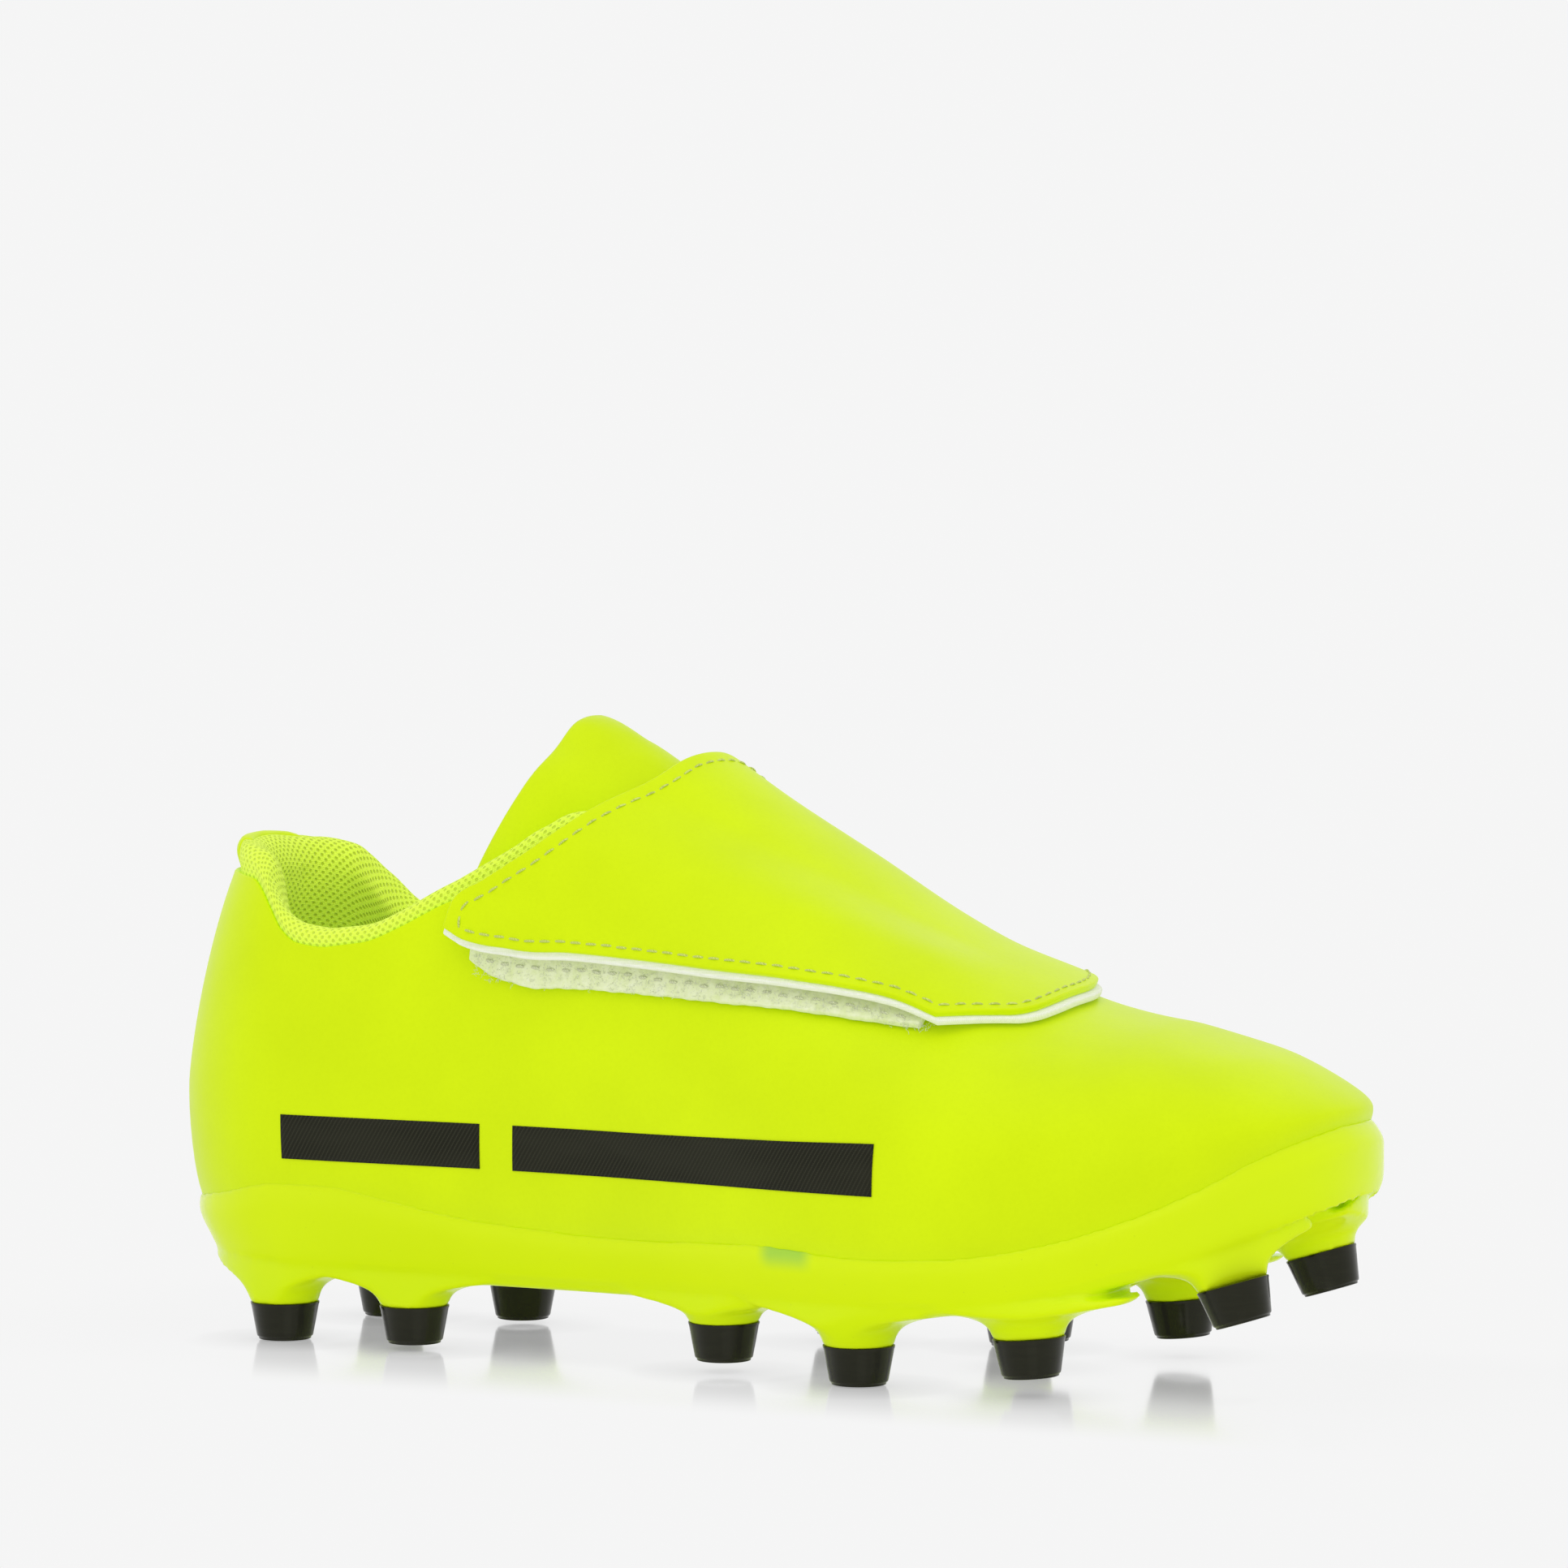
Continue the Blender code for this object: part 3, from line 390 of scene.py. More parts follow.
def grid_faces(rows, columns, closed=False, base=0):
    faces = []
    for i in range(rows if closed else rows - 1):
        here, there = base + i * columns, base + (i + 1) % rows * columns
        faces += [(here + j, there + j, there + j + 1, here + j + 1) for j in range(columns - 1)]
    return faces


def tube_faces(rings, sides, base=0):
    """faces of a tube made of rings of points"""
    faces = []
    for i in range(rings - 1):
        low, high = base + i * sides, base + (i + 1) * sides
        for k in range(sides):
            after = (k + 1) % sides
            faces.append((low + k, low + after, high + after, high + k))
    return faces


def tube_caps(rings, sides, base=0):
    last = base + (rings - 1) * sides
    return [tuple(base + k for k in range(sides))[::-1], tuple(last + k for k in range(sides))]


def align_normals(ob, inner_point=None):
    """make the faces agree; given inner_point(face centre), make them look away from it"""
    bm = bmesh.new()
    bm.from_mesh(ob.data)
    bmesh.ops.recalc_face_normals(bm, faces=bm.faces)
    if inner_point:
        bm.normal_update()
        flow = 0.0
        for face in bm.faces:
            centre = face.calc_center_median()
            flow += face.normal.dot(centre - inner_point(centre)) * face.calc_area()
        if flow < 0:
            bmesh.ops.reverse_faces(bm, faces=bm.faces)
    bm.to_mesh(ob.data)
    bm.free()
    ob.data.update()


def spine_point(point):
    """point inside the last, level with a point of its skin"""
    x = min(max(last_x(point), HEEL_X), TOE_X)
    return to_scene((x, spine_y(x), SPINE_MID_Z))


def solidify(ob, thickness):
    mod = ob.modifiers.new("thickness", 'SOLIDIFY')
    mod.thickness = thickness * MM
    mod.offset = -1.0
    mod.use_rim = True
    mod.use_quality_normals = True


def bevel(ob, width, segments=2, angle=55):
    mod = ob.modifiers.new("edge", 'BEVEL')
    mod.width = width * MM
    mod.segments = segments
    mod.limit_method = 'ANGLE'
    mod.angle_limit = radians(angle)


def subdivide(ob):
    mod = ob.modifiers.new("round", 'SUBSURF')
    mod.levels = mod.render_levels = 1


def apply_modifiers(ob):
    graph = bpy.context.evaluated_depsgraph_get()
    mesh = bpy.data.meshes.new_from_object(ob.evaluated_get(graph), depsgraph=graph)
    old = ob.data
    ob.modifiers.clear()
    ob.data = mesh
    bpy.data.meshes.remove(old)


def get_points(mesh):
    flat = np.zeros(len(mesh.vertices) * 3, np.float64)
    mesh.vertices.foreach_get("co", flat)
    return flat.reshape(-1, 3)


def set_points(mesh, points):
    mesh.vertices.foreach_set("co", np.asarray(points, np.float64).ravel())
    mesh.update()


def attach(ob, part, slot, *replaced):
    """tell the frame which part carries the object and which nodes it replaces; slot is not used"""
    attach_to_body(ob, part)
    if replaced:
        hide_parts(*replaced)


# ============================================================ materials
class Shader:
    """A material with short calls that add nodes and return their output sockets."""

    def __init__(self, name):
        self.material = bpy.data.materials.new(name)
        self.material.use_nodes = True
        self.tree = self.material.node_tree

    def node(self, kind, **settings):
        node = self.tree.nodes.new(kind)
        for key, value in settings.items():
            setattr(node, key, value)
        return node

    def feed(self, socket, value):
        """link a socket, or set a plain value (colours get an alpha of 1)"""
        if isinstance(value, bpy.types.NodeSocket):
            self.tree.links.new(value, socket)
        elif socket.type == 'RGBA':
            socket.default_value = (*value, 1.0)
        else:
            socket.default_value = value

    def texture(self, kind, vector, inputs, **settings):
        node = self.node(kind, **settings)
        for key, value in {"Vector": vector, **inputs}.items():
            self.feed(node.inputs[key], value)
        return node.outputs

    def math(self, operation, *values):
        node = self.node("ShaderNodeMath", operation=operation)
        for socket, value in zip(node.inputs, values):
            self.feed(socket, value)
        return node.outputs[0]

    def plus(self, first, second):
        return self.math('ADD', first, second)

    def minus(self, first, second):
        return self.math('SUBTRACT', first, second)

    def times(self, first, second):
        return self.math('MULTIPLY', first, second)

    def coord(self, output="Object"):
        return self.node("ShaderNodeTexCoord").outputs[output]

    def split(self, vector):
        node = self.node("ShaderNodeSeparateXYZ")
        self.feed(node.inputs[0], vector)
        return node.outputs

    def mapping(self, vector, scale=(1, 1, 1), rotation=(0, 0, 0)):
        return self.texture("ShaderNodeMapping", vector, {"Scale": scale, "Rotation": rotation})[0]

    def noise(self, vector, scale, detail=4.0, roughness=0.5):
        return self.texture("ShaderNodeTexNoise", vector, {
            "Scale": scale, "Detail": detail, "Roughness": roughness})[0]

    def voronoi(self, vector, scale, feature='F1'):
        return self.texture("ShaderNodeTexVoronoi", vector, {"Scale": scale}, feature=feature)[0]

    def wave(self, vector, scale, distortion, direction='X', detail=1.0):
        return self.texture("ShaderNodeTexWave", vector, {
            "Scale": scale, "Distortion": distortion, "Detail": detail},
            bands_direction=direction)[1]

    def ramp(self, factor, *stops):
        """stops are (position, colour)"""
        node = self.node("ShaderNodeValToRGB")
        elements = node.color_ramp.elements
        while len(elements) < len(stops):
            elements.new(0.5)
        for element, (position, colour) in zip(elements, stops):
            element.position = position
            element.color = (*colour, 1.0)
        self.feed(node.inputs[0], factor)
        return node.outputs[0]

    def mix(self, factor, first, second):
        node = self.node("ShaderNodeMix", data_type='RGBA')
        for i, value in ((0, factor), (6, first), (7, second)):
            self.feed(node.inputs[i], value)
        return node.outputs[2]

    def bump(self, height, strength, distance, normal=None):
        node = self.node("ShaderNodeBump")
        self.feed(node.inputs["Strength"], strength)
        self.feed(node.inputs["Distance"], distance)
        self.feed(node.inputs["Height"], height)
        if normal is not None:
            self.feed(node.inputs["Normal"], normal)
        return node.outputs[0]

    def remap(self, value, source, target=(0.0, 1.0), soft=False):
        node = self.node("ShaderNodeMapRange")
        if soft:
            node.interpolation_type = 'SMOOTHSTEP'
        for socket, each in zip(node.inputs, (value, *source, *target)):
            self.feed(socket, each)
        return node.outputs[0]

    def principled(self, colour, normal, roughness, specular, tint=None, sheen=None, painted_glow=0.0,
                   more=None):
        """sheen is (weight, roughness, tint); the last emission argument is painted light: emission
        in the base colour that brightens the material though it is no lamp
        """
        inputs = {"Base Color": colour, "Normal": normal, "Roughness": roughness,
                  "Specular IOR Level": specular, **(more or {})}
        if tint:
            inputs["Specular Tint"] = tint
        if sheen:
            inputs.update(zip(("Sheen Weight", "Sheen Roughness", "Sheen Tint"), sheen))
        if painted_glow:
            inputs["Emission Color"] = colour
            inputs["Emission Strength"] = painted_glow
        sockets = self.tree.nodes["Principled BSDF"].inputs
        for key, value in inputs.items():
            self.feed(sockets[key], value)
        return self.material


NEON = (0.690, 0.895, 0.005)
NEON_DEEP = (0.670, 0.870, 0.005)
# moulded lines as x0, z0, x1, z1: one upright line and three swept ribs
UPRIGHT_LINE = (91.5, 20, 97.5, 38)
SWEPT_RIBS = [(95, 23, 126, 43), (93, 20, 116, 33), (104, 21, 124, 33)]


def moulded_line(s, x, z, ends, width):
    """height of a soft-edged line in side view that fades in and out at its ends"""
    x0, z0, x1, z1 = scene_x(ends[0]), ends[1] * MM, scene_x(ends[2]), ends[3] * MM
    run, rise = x1 - x0, z1 - z0
    length = sqrt(run * run + rise * rise)
    across = s.plus(s.times(s.minus(x, x0), -rise / length), s.times(s.minus(z, z0), run / length))
    ridge = s.times(across, across)
    ridge = s.math('EXPONENT', s.times(ridge, -1.0 / (width * width)))
    along = s.plus(s.times(s.minus(x, x0), run / length), s.times(s.minus(z, z0), rise / length))
    fade_in = s.remap(along, (0.0, 0.006), soft=True)
    fade_out = s.remap(along, (length - 0.008, length), (1.0, 0.0), soft=True)
    return s.times(ridge, s.times(fade_in, fade_out))


def grained_skin(name, grain=1.0, base=NEON, lines=False):
    """coated skin: leather grain of two cell sizes and slow colour clouds"""
    s = Shader(name)
    place = s.coord()
    cells = s.voronoi(place, scale=1500.0, feature='SMOOTH_F1')
    pores = s.voronoi(place, scale=3600.0)
    cloud = s.noise(place, scale=38.0, detail=3.0, roughness=0.55)
    fine = s.noise(place, scale=900.0, detail=2.0, roughness=0.6)
    colour = s.ramp(cloud, (0.30, tuple(v * 0.955 for v in base)),
                    (0.70, tuple(min(1.0, v * 1.03) for v in base)))
    cell_centres = s.remap(cells, source=(0.0, 0.55), target=(1.0, 0.0))
    colour = s.mix(s.times(cell_centres, 0.10), colour,
                   (base[0] * 0.80, base[1] * 0.84, base[2] * 0.5))
    roughness = s.plus(s.times(fine, 0.10), 0.34)
    normal = s.bump(s.plus(s.times(cells, 0.6), s.times(pores, 0.4)),
                    strength=0.16 * grain, distance=0.00012)
    soft = s.noise(place, scale=55.0, detail=2.0, roughness=0.5)
    normal = s.bump(soft, strength=0.10, distance=0.0010, normal=normal)
    if lines:
        x, _, z = s.split(place)
        height = moulded_line(s, x, z, UPRIGHT_LINE, width=0.0004)
        for ends in SWEPT_RIBS:
            height = s.plus(height, s.times(moulded_line(s, x, z, ends, width=0.0009), 0.7))
        normal = s.bump(height, strength=-0.8, distance=0.0007, normal=normal)
    # painted light: emission in the base colour brightens the coated skin
    return s.principled(colour, normal, roughness, specular=0.20, tint=(0.85, 1.0, 0.15),
                        painted_glow=0.02, more={"Coat Weight": 0.02, "Coat Roughness": 0.28})


def outsole_tpu():
    s = Shader("tpu_outsole")
    place = s.coord()
    cloud = s.noise(place, scale=22.0, detail=3.0, roughness=0.5)
    colour = s.ramp(cloud, (0.3, (0.680, 0.880, 0.005)), (0.7, (0.720, 0.920, 0.007)))
    x, y, z = s.split(place)
    # deeper colour low down
    colour = s.mix(s.remap(z, source=(0.006, 0.016), target=(0.30, 0.0), soft=True), colour,
                   (0.60, 0.84, 0.003))
    # a short darker green length at the top of the lateral wall
    in_x = s.times(s.remap(x, (scene_x(116.5), scene_x(119.5)), soft=True),
                   s.remap(x, (scene_x(124.5), scene_x(127.5)), (1.0, 0.0), soft=True))
    in_z = s.times(s.remap(z, (0.0172, 0.0205), soft=True), s.math('LESS_THAN', y, 0.0))
    colour = s.mix(s.times(s.times(in_x, in_z), 0.55), colour, (0.16, 0.52, 0.12))
    # sparse dark specks
    speck = s.voronoi(place, scale=420.0)
    colour = s.mix(s.times(s.math('LESS_THAN', speck, 0.035), 0.25), colour, (0.25, 0.38, 0.02))
    scuff = s.noise(s.mapping(place, scale=(1, 1, 3)), scale=160.0, detail=5.0, roughness=0.65)
    roughness = s.remap(scuff, source=(0.35, 0.75), target=(0.13, 0.26))
    normal = s.bump(s.noise(place, scale=120.0, detail=2.0), strength=0.06, distance=0.0006)
    # faces that look down reflect less
    normal_z = s.split(s.node("ShaderNodeNewGeometry").outputs["Normal"])[2]
    specular = s.remap(normal_z, source=(-0.45, 0.0), target=(0.03, 0.34))
    # painted light: emission in the base colour brightens the outsole
    return s.principled(colour, normal, roughness, specular, tint=(0.95, 1.0, 0.3), painted_glow=0.035,
                        more={"Subsurface Weight": 0.22, "Subsurface Radius": (1.0, 1.0, 0.15),
                              "Subsurface Scale": 0.0022})


def stud_black():
    s = Shader("stud_black")
    place = s.coord()
    grain = s.noise(s.mapping(place, scale=(1, 1, 6)), scale=260.0, detail=5.0, roughness=0.65)
    colour = s.ramp(grain, (0.35, (0.0050, 0.0055, 0.0020)), (0.75, (0.0095, 0.0100, 0.0045)))
    roughness = s.remap(s.noise(place, scale=500.0, detail=3.0),
                        source=(0.3, 0.75), target=(0.15, 0.26))
    rings = s.wave(s.mapping(place, scale=(0, 0, 1)), scale=380.0, distortion=1.5,
                   direction='Z', detail=2.0)
    normal = s.bump(rings, strength=0.05, distance=0.00006)
    normal = s.bump(s.noise(place, scale=900.0, detail=2.0), strength=0.05, distance=0.0001,
                    normal=normal)
    return s.principled(colour, normal, roughness, specular=0.27, tint=(1.0, 1.0, 0.8))


def printed_twill(rib_pitch=0.62, thread_pitch=0.34):
    """matt black print over a ribbed twill, UVs in millimetres; its thread crowns are painted lighter
    as highlight and its grooves darker as shade
    """
    s = Shader("print_twill")
    uv = s.coord("UV")
    turned_uv = s.split(s.mapping(uv, rotation=(0, 0, radians(32))))
    ridge = s.math('FRACT', s.times(turned_uv[0], 1.0 / rib_pitch))
    ridge = s.times(s.math('ABSOLUTE', s.minus(ridge, 0.5)), 2.0)
    row = s.math('FLOOR', s.times(turned_uv[0], 1.0 / rib_pitch))
    cross = s.plus(s.times(turned_uv[1], 1.0 / thread_pitch), s.times(row, 0.5))
    cross = s.math('ABSOLUTE', s.minus(s.math('FRACT', cross), 0.5))
    thread = s.times(s.remap(ridge, source=(0.30, 0.95), soft=True),
                     s.remap(cross, source=(0.08, 0.42), target=(1.0, 0.25)))
    # colour by thread: the print's own dark tone, with painted highlight on the crowns and painted
    # shade in the grooves
    colour = s.ramp(thread, (0.0, (0.0085, 0.009, 0.0045)), (0.55, (0.016, 0.0165, 0.009)),
                    (1.0, (0.046, 0.046, 0.029)))
    broad = s.noise(s.mapping(uv, scale=(0.05, 0.16, 1)), scale=1.0, detail=2.0)
    colour = s.mix(s.remap(broad, source=(0.40, 0.65), target=(0.0, 0.45)), colour,
                   (0.024, 0.0245, 0.015))
    roughness = s.remap(thread, source=(0.0, 1.0), target=(0.50, 0.33))
    normal = s.bump(thread, strength=0.35, distance=0.00015)
    return s.principled(colour, normal, roughness, specular=0.17, tint=(1.0, 1.0, 0.8))


def air_mesh(pitch=1.32, row_ratio=0.56):
    """spacer mesh: staggered oval holes between knitted ribs, UVs in millimetres"""
    s = Shader("air_mesh")
    uv = s.coord("UV")
    u, v, _ = s.split(uv)
    across = s.times(u, 1.0 / pitch)
    up = s.times(v, 1.0 / (pitch * row_ratio))
    row = s.math('FLOOR', up)
    stagger = s.times(s.math('MODULO', s.math('ABSOLUTE', row), 2.0), 0.5)
    hole_u = s.minus(s.math('FRACT', s.plus(across, stagger)), 0.5)
    hole_v = s.minus(s.math('FRACT', up), 0.5)
    # oval distance, with a weight for each axis
    distance = s.math('SQRT', s.plus(s.times(s.times(hole_u, hole_u), 1.0),
                                     s.times(s.times(hole_v, hole_v), 0.34)))
    hole = s.remap(distance, source=(0.09, 0.27), target=(1.0, 0.0), soft=True)
    hole = s.times(hole, s.remap(v, source=(5.0, 12.0), target=(0.70, 1.0), soft=True))
    knit = s.noise(s.mapping(uv), scale=3.2, detail=3.0, roughness=0.7)
    yarn = s.times(s.plus(s.math('SINE', s.times(u, 15.0)), s.math('SINE', s.times(v, 19.0))), 0.25)
    colour = s.ramp(knit, (0.30, (0.68, 0.89, 0.035)), (0.72, (0.74, 0.94, 0.11)))
    # painted shade: the holes are coloured dark, standing in for the shade inside them
    colour = s.mix(s.times(hole, 0.72), colour, (0.36, 0.50, 0.002))
    normal = s.bump(s.plus(s.times(hole, -1.0), s.times(yarn, 0.25)),
                    strength=0.75, distance=0.00035)
    # painted light: strong emission lifts the mesh out of the shade inside the collar
    return s.principled(colour, normal, roughness=0.85, specular=0.12,
                        sheen=(0.30, 0.5, (0.9, 1.0, 0.5)), painted_glow=0.22)


def cloth(name, dark, light, scale, bump, roughness=0.9, sheen=0.3, painted_glow=0.0):
    """woven or knitted cloth: crossed waves and fibre noise"""
    s = Shader(name)
    place = s.coord()
    waves = [s.wave(place, scale=scale, distortion=0.6, direction=axis) for axis in 'XZY']
    weave = s.times(s.plus(s.plus(waves[0], waves[1]), waves[2]), 0.333)
    fibre = s.noise(place, scale=1400.0, detail=4.0, roughness=0.7)
    colour = s.ramp(s.times(s.plus(weave, fibre), 0.5), (0.3, dark), (0.7, light))
    normal = s.bump(s.plus(weave, fibre), strength=bump, distance=0.0002)
    # painted light: emission, where given, brightens the cloth
    return s.principled(colour, normal, roughness, specular=0.12, sheen=(sheen, 0.5, (1, 1, 1)),
                        painted_glow=painted_glow)


def loop_pile():
    s = Shader("loop_pile")
    place = s.coord()
    fine = s.noise(place, scale=1300.0, detail=6.0, roughness=0.75)
    tufts = s.noise(s.mapping(place, scale=(1, 1, 0.35)), scale=420.0, detail=3.0, roughness=0.6)
    loops = s.voronoi(place, scale=900.0)
    colour = s.ramp(s.times(s.plus(fine, tufts), 0.5), (0.30, (0.70, 0.80, 0.36)),
                    (0.52, (0.82, 0.89, 0.55)), (0.72, (0.90, 0.94, 0.72)))
    normal = s.bump(s.plus(fine, loops), strength=0.45, distance=0.00025)
    # painted light: emission brightens the pile
    return s.principled(colour, normal, roughness=0.95, specular=0.1,
                        sheen=(0.6, 0.5, (1, 1, 0.9)), painted_glow=0.06)


def thread(name, light, painted_glow=0.0):
    """twisted thread, striped on the slant"""
    s = Shader(name)
    place = s.mapping(s.coord(), rotation=(0, 0.7, 0.6))
    twist = s.wave(place, scale=1500.0, distortion=0.8)
    colour = s.ramp(twist, (0.2, tuple(v * 0.72 for v in light)), (0.8, light))
    normal = s.bump(twist, strength=0.5, distance=0.0001)
    # painted light: emission, where given, brightens the thread
    return s.principled(colour, normal, roughness=0.6, specular=0.25,
                        sheen=(0.3, 0.4, (1, 1, 1)), painted_glow=painted_glow)


# the emission amounts below are painted light that brightens each material; none of them is a lamp
MATERIALS = dict(
    upper=grained_skin("pu_upper", lines=True),
    tpu=outsole_tpu(),
    stud=stud_black(),
    twill=printed_twill(),
    mesh=air_mesh(),
    strap=grained_skin("pu_strap"),
    tab=grained_skin("pu_heel_tab"),
    tongue=grained_skin("pu_tongue", grain=0.8, base=NEON_DEEP),
    # painted light: emission lifts the lining out of the shade inside the boot
    lining=cloth("lining_knit", (0.34, 0.60, 0.02), (0.48, 0.76, 0.05), scale=1100.0, bump=0.4,
                 painted_glow=0.05),
    # painted light: emission brightens the backing's shaded rim
    backing=cloth("strap_backing", (0.80, 0.84, 0.68), (0.93, 0.95, 0.86), scale=1300.0,
                  bump=0.35, painted_glow=0.10),
    pile=loop_pile(),
    fibre=thread("pile_fibre", (0.90, 0.95, 0.74), painted_glow=0.05),
    thread=thread("stitch_thread", (0.66, 0.78, 0.17), painted_glow=0.06),
    pale_thread=thread("stitch_thread_pale", (0.80, 0.86, 0.55)),
    hook=cloth("hook_tape", (0.60, 0.62, 0.55), (0.80, 0.82, 0.74), scale=1500.0, bump=0.8,
               roughness=0.5),
    board=cloth("insole_board", (0.60, 0.56, 0.48), (0.78, 0.74, 0.66), scale=700.0, bump=0.3),
    counter=cloth("counter_board", (0.55, 0.53, 0.48), (0.72, 0.70, 0.64), scale=600.0, bump=0.2),
    sock=cloth("sock_cover", (0.22, 0.42, 0.015), (0.36, 0.62, 0.03), scale=1000.0, bump=0.5,
               roughness=0.95, sheen=0.4, painted_glow=0.03),
)


# ============================================================ upper
UPPER_REBATE = 0.30
UPPER_STEPS = 34                # rows from the widest level to the top edge


def lower_angles(section):
    """twelve rows from the sole edge to just below the widest level, close at the rebate"""
    at = section.rebate_at
    above = at - 0.05
    return [-90 * v for v in (1.0, 0.75 + 0.25 * at, 0.5 + 0.5 * at, 0.25 + 0.75 * at, at + 0.02,
                              at, at - 0.025, above, 0.8 * above, 0.6 * above, 0.4 * above,
                              0.2 * above)]


def build_upper():
    ribs = rib_loop(30, 22, side_stations(1.6))
    points, uv = [], []
    for section in ribs:
        for angle in lower_angles(section):
            points.append(section.at(angle, 0.0, UPPER_REBATE))
            uv.append((section.run, angle * 0.4))
        for i in range(UPPER_STEPS + 1):
            part = i / UPPER_STEPS
            points.append(section.at(section.top * part))
            uv.append((section.run, section.top * part * 0.6))
    grid = np.array(points).reshape(len(ribs), -1, 3)
    for _ in range(3):          # relax along and across, holding the two edges
        along = 0.25 * (np.roll(grid, 1, 0) + np.roll(grid, -1, 0)) + 0.5 * grid
        relaxed = grid.copy()
        relaxed[:, 1:-1] = 0.5 * along[:, 1:-1] + 0.25 * (along[:, 2:] + along[:, :-2])
        grid = relaxed
    ob = new_mesh("upper_outer_skin", grid.reshape(-1, 3),
                  grid_faces(len(ribs), grid.shape[1], True), MATERIALS['upper'], uv, weld=True)
    align_normals(ob, spine_point)
    solidify(ob, UPPER_T)
    bevel(ob, 0.35, angle=60)
    attach(ob, "boot", "pu_upper", "upper_outer")


build_upper()

# ============================================================ outsole
# name, x, y, z of the tip, forward lean of the tip in degrees
STUDS = [
    ("heel_lateral_rear", 24.7, -17.0, 0.0, 0),
    ("heel_lateral_front", 48.9, -17.8, 0.8, 0),
    ("heel_medial_rear", 24.8, 16.9, 0.0, 0),
    ("heel_medial_front", 49.2, 17.8, 0.6, 0),
    ("ball_lateral_rear", 104.8, -20.3, 1.6, 0),
    ("ball_lateral_middle", 129.9, -25.0, 0.0, 0),
    ("ball_lateral_front", 158.1, -24.5, 2.7, 4),
    ("ball_medial_rear", 106.4, 19.4, 1.1, 0),
    ("ball_medial_middle", 133.8, 26.2, 0.0, 0),
    ("ball_medial_front", 162.3, 25.7, 3.1, 5),
    ("forefoot_centre", 147.2, 4.8, 4.0, 2),
    ("toe_lateral", 188.6, -15.9, 11.5, 17),
    ("toe_medial", 192.2, 11.6, 13.5, 17),
]
# turned section of a tip (radius, height): bevelled foot, moulding step, taper
TIP_PROFILE = [
    (0.02, 0.12), (2.4, 0.12), (3.3, 0.0), (4.0, 0.0), (4.16, 0.06), (4.20, 0.34), (4.30, 0.42),
    (4.44, 0.50), (4.52, 0.72), (4.95, 3.0), (5.40, 5.45), (5.50, 5.72), (5.50, 5.92),
    (5.30, 6.02), (0.02, 6.02)]
FLARE_START = 5.75              # height on the stud where its flared base begins
FLARE_RADIUS, FLARE_TAPER, FLARE_SPREAD = 5.42, 0.55, 6.6
FLARE_STEPS = 14


def skirt(section):
    """extra fullness of the wall's foot round the heel and the toe"""
    if section.kind == 'heel':
        return 0.4 - 1.3 * section.facing ** 0.8
    if section.kind == 'toe':
        return 1.2 * section.facing
    return 0.5 * (1 - smooth(27, 60, section.place[1]))


def wall_face(section, part):
    """offset of the wall's outer face, part 0 at its thin top edge to 1 at the sole edge"""
    lip = 1.7 * smooth(60, 10, abs(section.place)) * 0.95 if section.kind == 'toe' else 0.0
    offset = WALL_OUT - 0.50 * (1 - smooth(0.0, 0.24, part))
    offset += lip * smooth(-0.02, 0.26, part) * (1 - 0.55 * smooth(0.62, 1.0, part))
    return offset + skirt(section) * smooth(0.25, 1.0, part)


def plate_section(section):
    """outer points from the wall's top down to the spine, then inner points back up"""
    wall, foot, full = section.angle_at_z(wall_z(section.x)), section.foot, skirt(section)
    outer = [section.at(wall + 0.4, WALL_OUT - 1.0)]
    outer += [section.at(wall + (-90 - wall) * part, wall_face(section, part))
              for part in (0.02, 0.08, 0.16, 0.26, 0.38, 0.5, 0.62, 0.74, 0.86, 0.96)]
    outer += [section.on_plate(foot + 1.0 + full, 1.7), section.on_plate(foot + 0.3 + full, 0.55),
              section.on_plate(foot - 1.2 + 0.8 * full, 0.0)]
    outer += [section.on_plate(foot * part, 0.0) for part in (0.75, 0.5, 0.25, 0.0)]
    inner = [section.on_plate(foot * part, PLATE_T) for part in (0.0, 0.3, 0.6, 0.85)]
    corner = section.at(-90, GAP)
    corner[2] = section.on_plate(foot, PLATE_T)[2]
    inner += [corner] + [section.at(wall + (-90 - wall) * part, GAP)
                         for part in (0.75, 0.5, 0.25, 0.0)]
    return outer, inner


def plate_body():
    ribs = rib_loop(24, 24, side_stations(2.2))
    points, faces = [], []
    for i, section in enumerate(ribs):
        outer, inner = plate_section(section)
        points += outer + inner
        size = len(outer) + len(inner)
        here, there = i * size, (i + 1) % len(ribs) * size
        for j in range(size):
            if j != len(outer) - 1:     # no wall through the plate at the spine
                after = (j + 1) % size
                faces.append((here + j, here + after, there + after, there + j))
    ob = new_mesh("outsole_plate_body", points, faces, MATERIALS['tpu'], weld=True)
    align_normals(ob)
    return ob


def nearest_rib(x, y):
    """the rib a plan point lies on, to half a degree or half a millimetre, and its reach"""
    if x < HEEL_X:
        turn = degrees(atan2(y - HEEL_CENTRE[1], HEEL_X - x))
        reach = sqrt((x - HEEL_X) ** 2 + (y - HEEL_CENTRE[1]) ** 2)
        return rib('heel', round(turn * 2) / 2), reach
    if x > TOE_X:
        turn = degrees(atan2(y - TOE_CENTRE[1], x - TOE_X))
        reach = sqrt((x - TOE_X) ** 2 + (y - TOE_CENTRE[1]) ** 2)
        return rib('toe', round(turn * 2) / 2), reach
    middle = spine_y(x)
    return rib('side', (-1 if y < middle else 1, round(x * 2) / 2)), abs(y - middle)


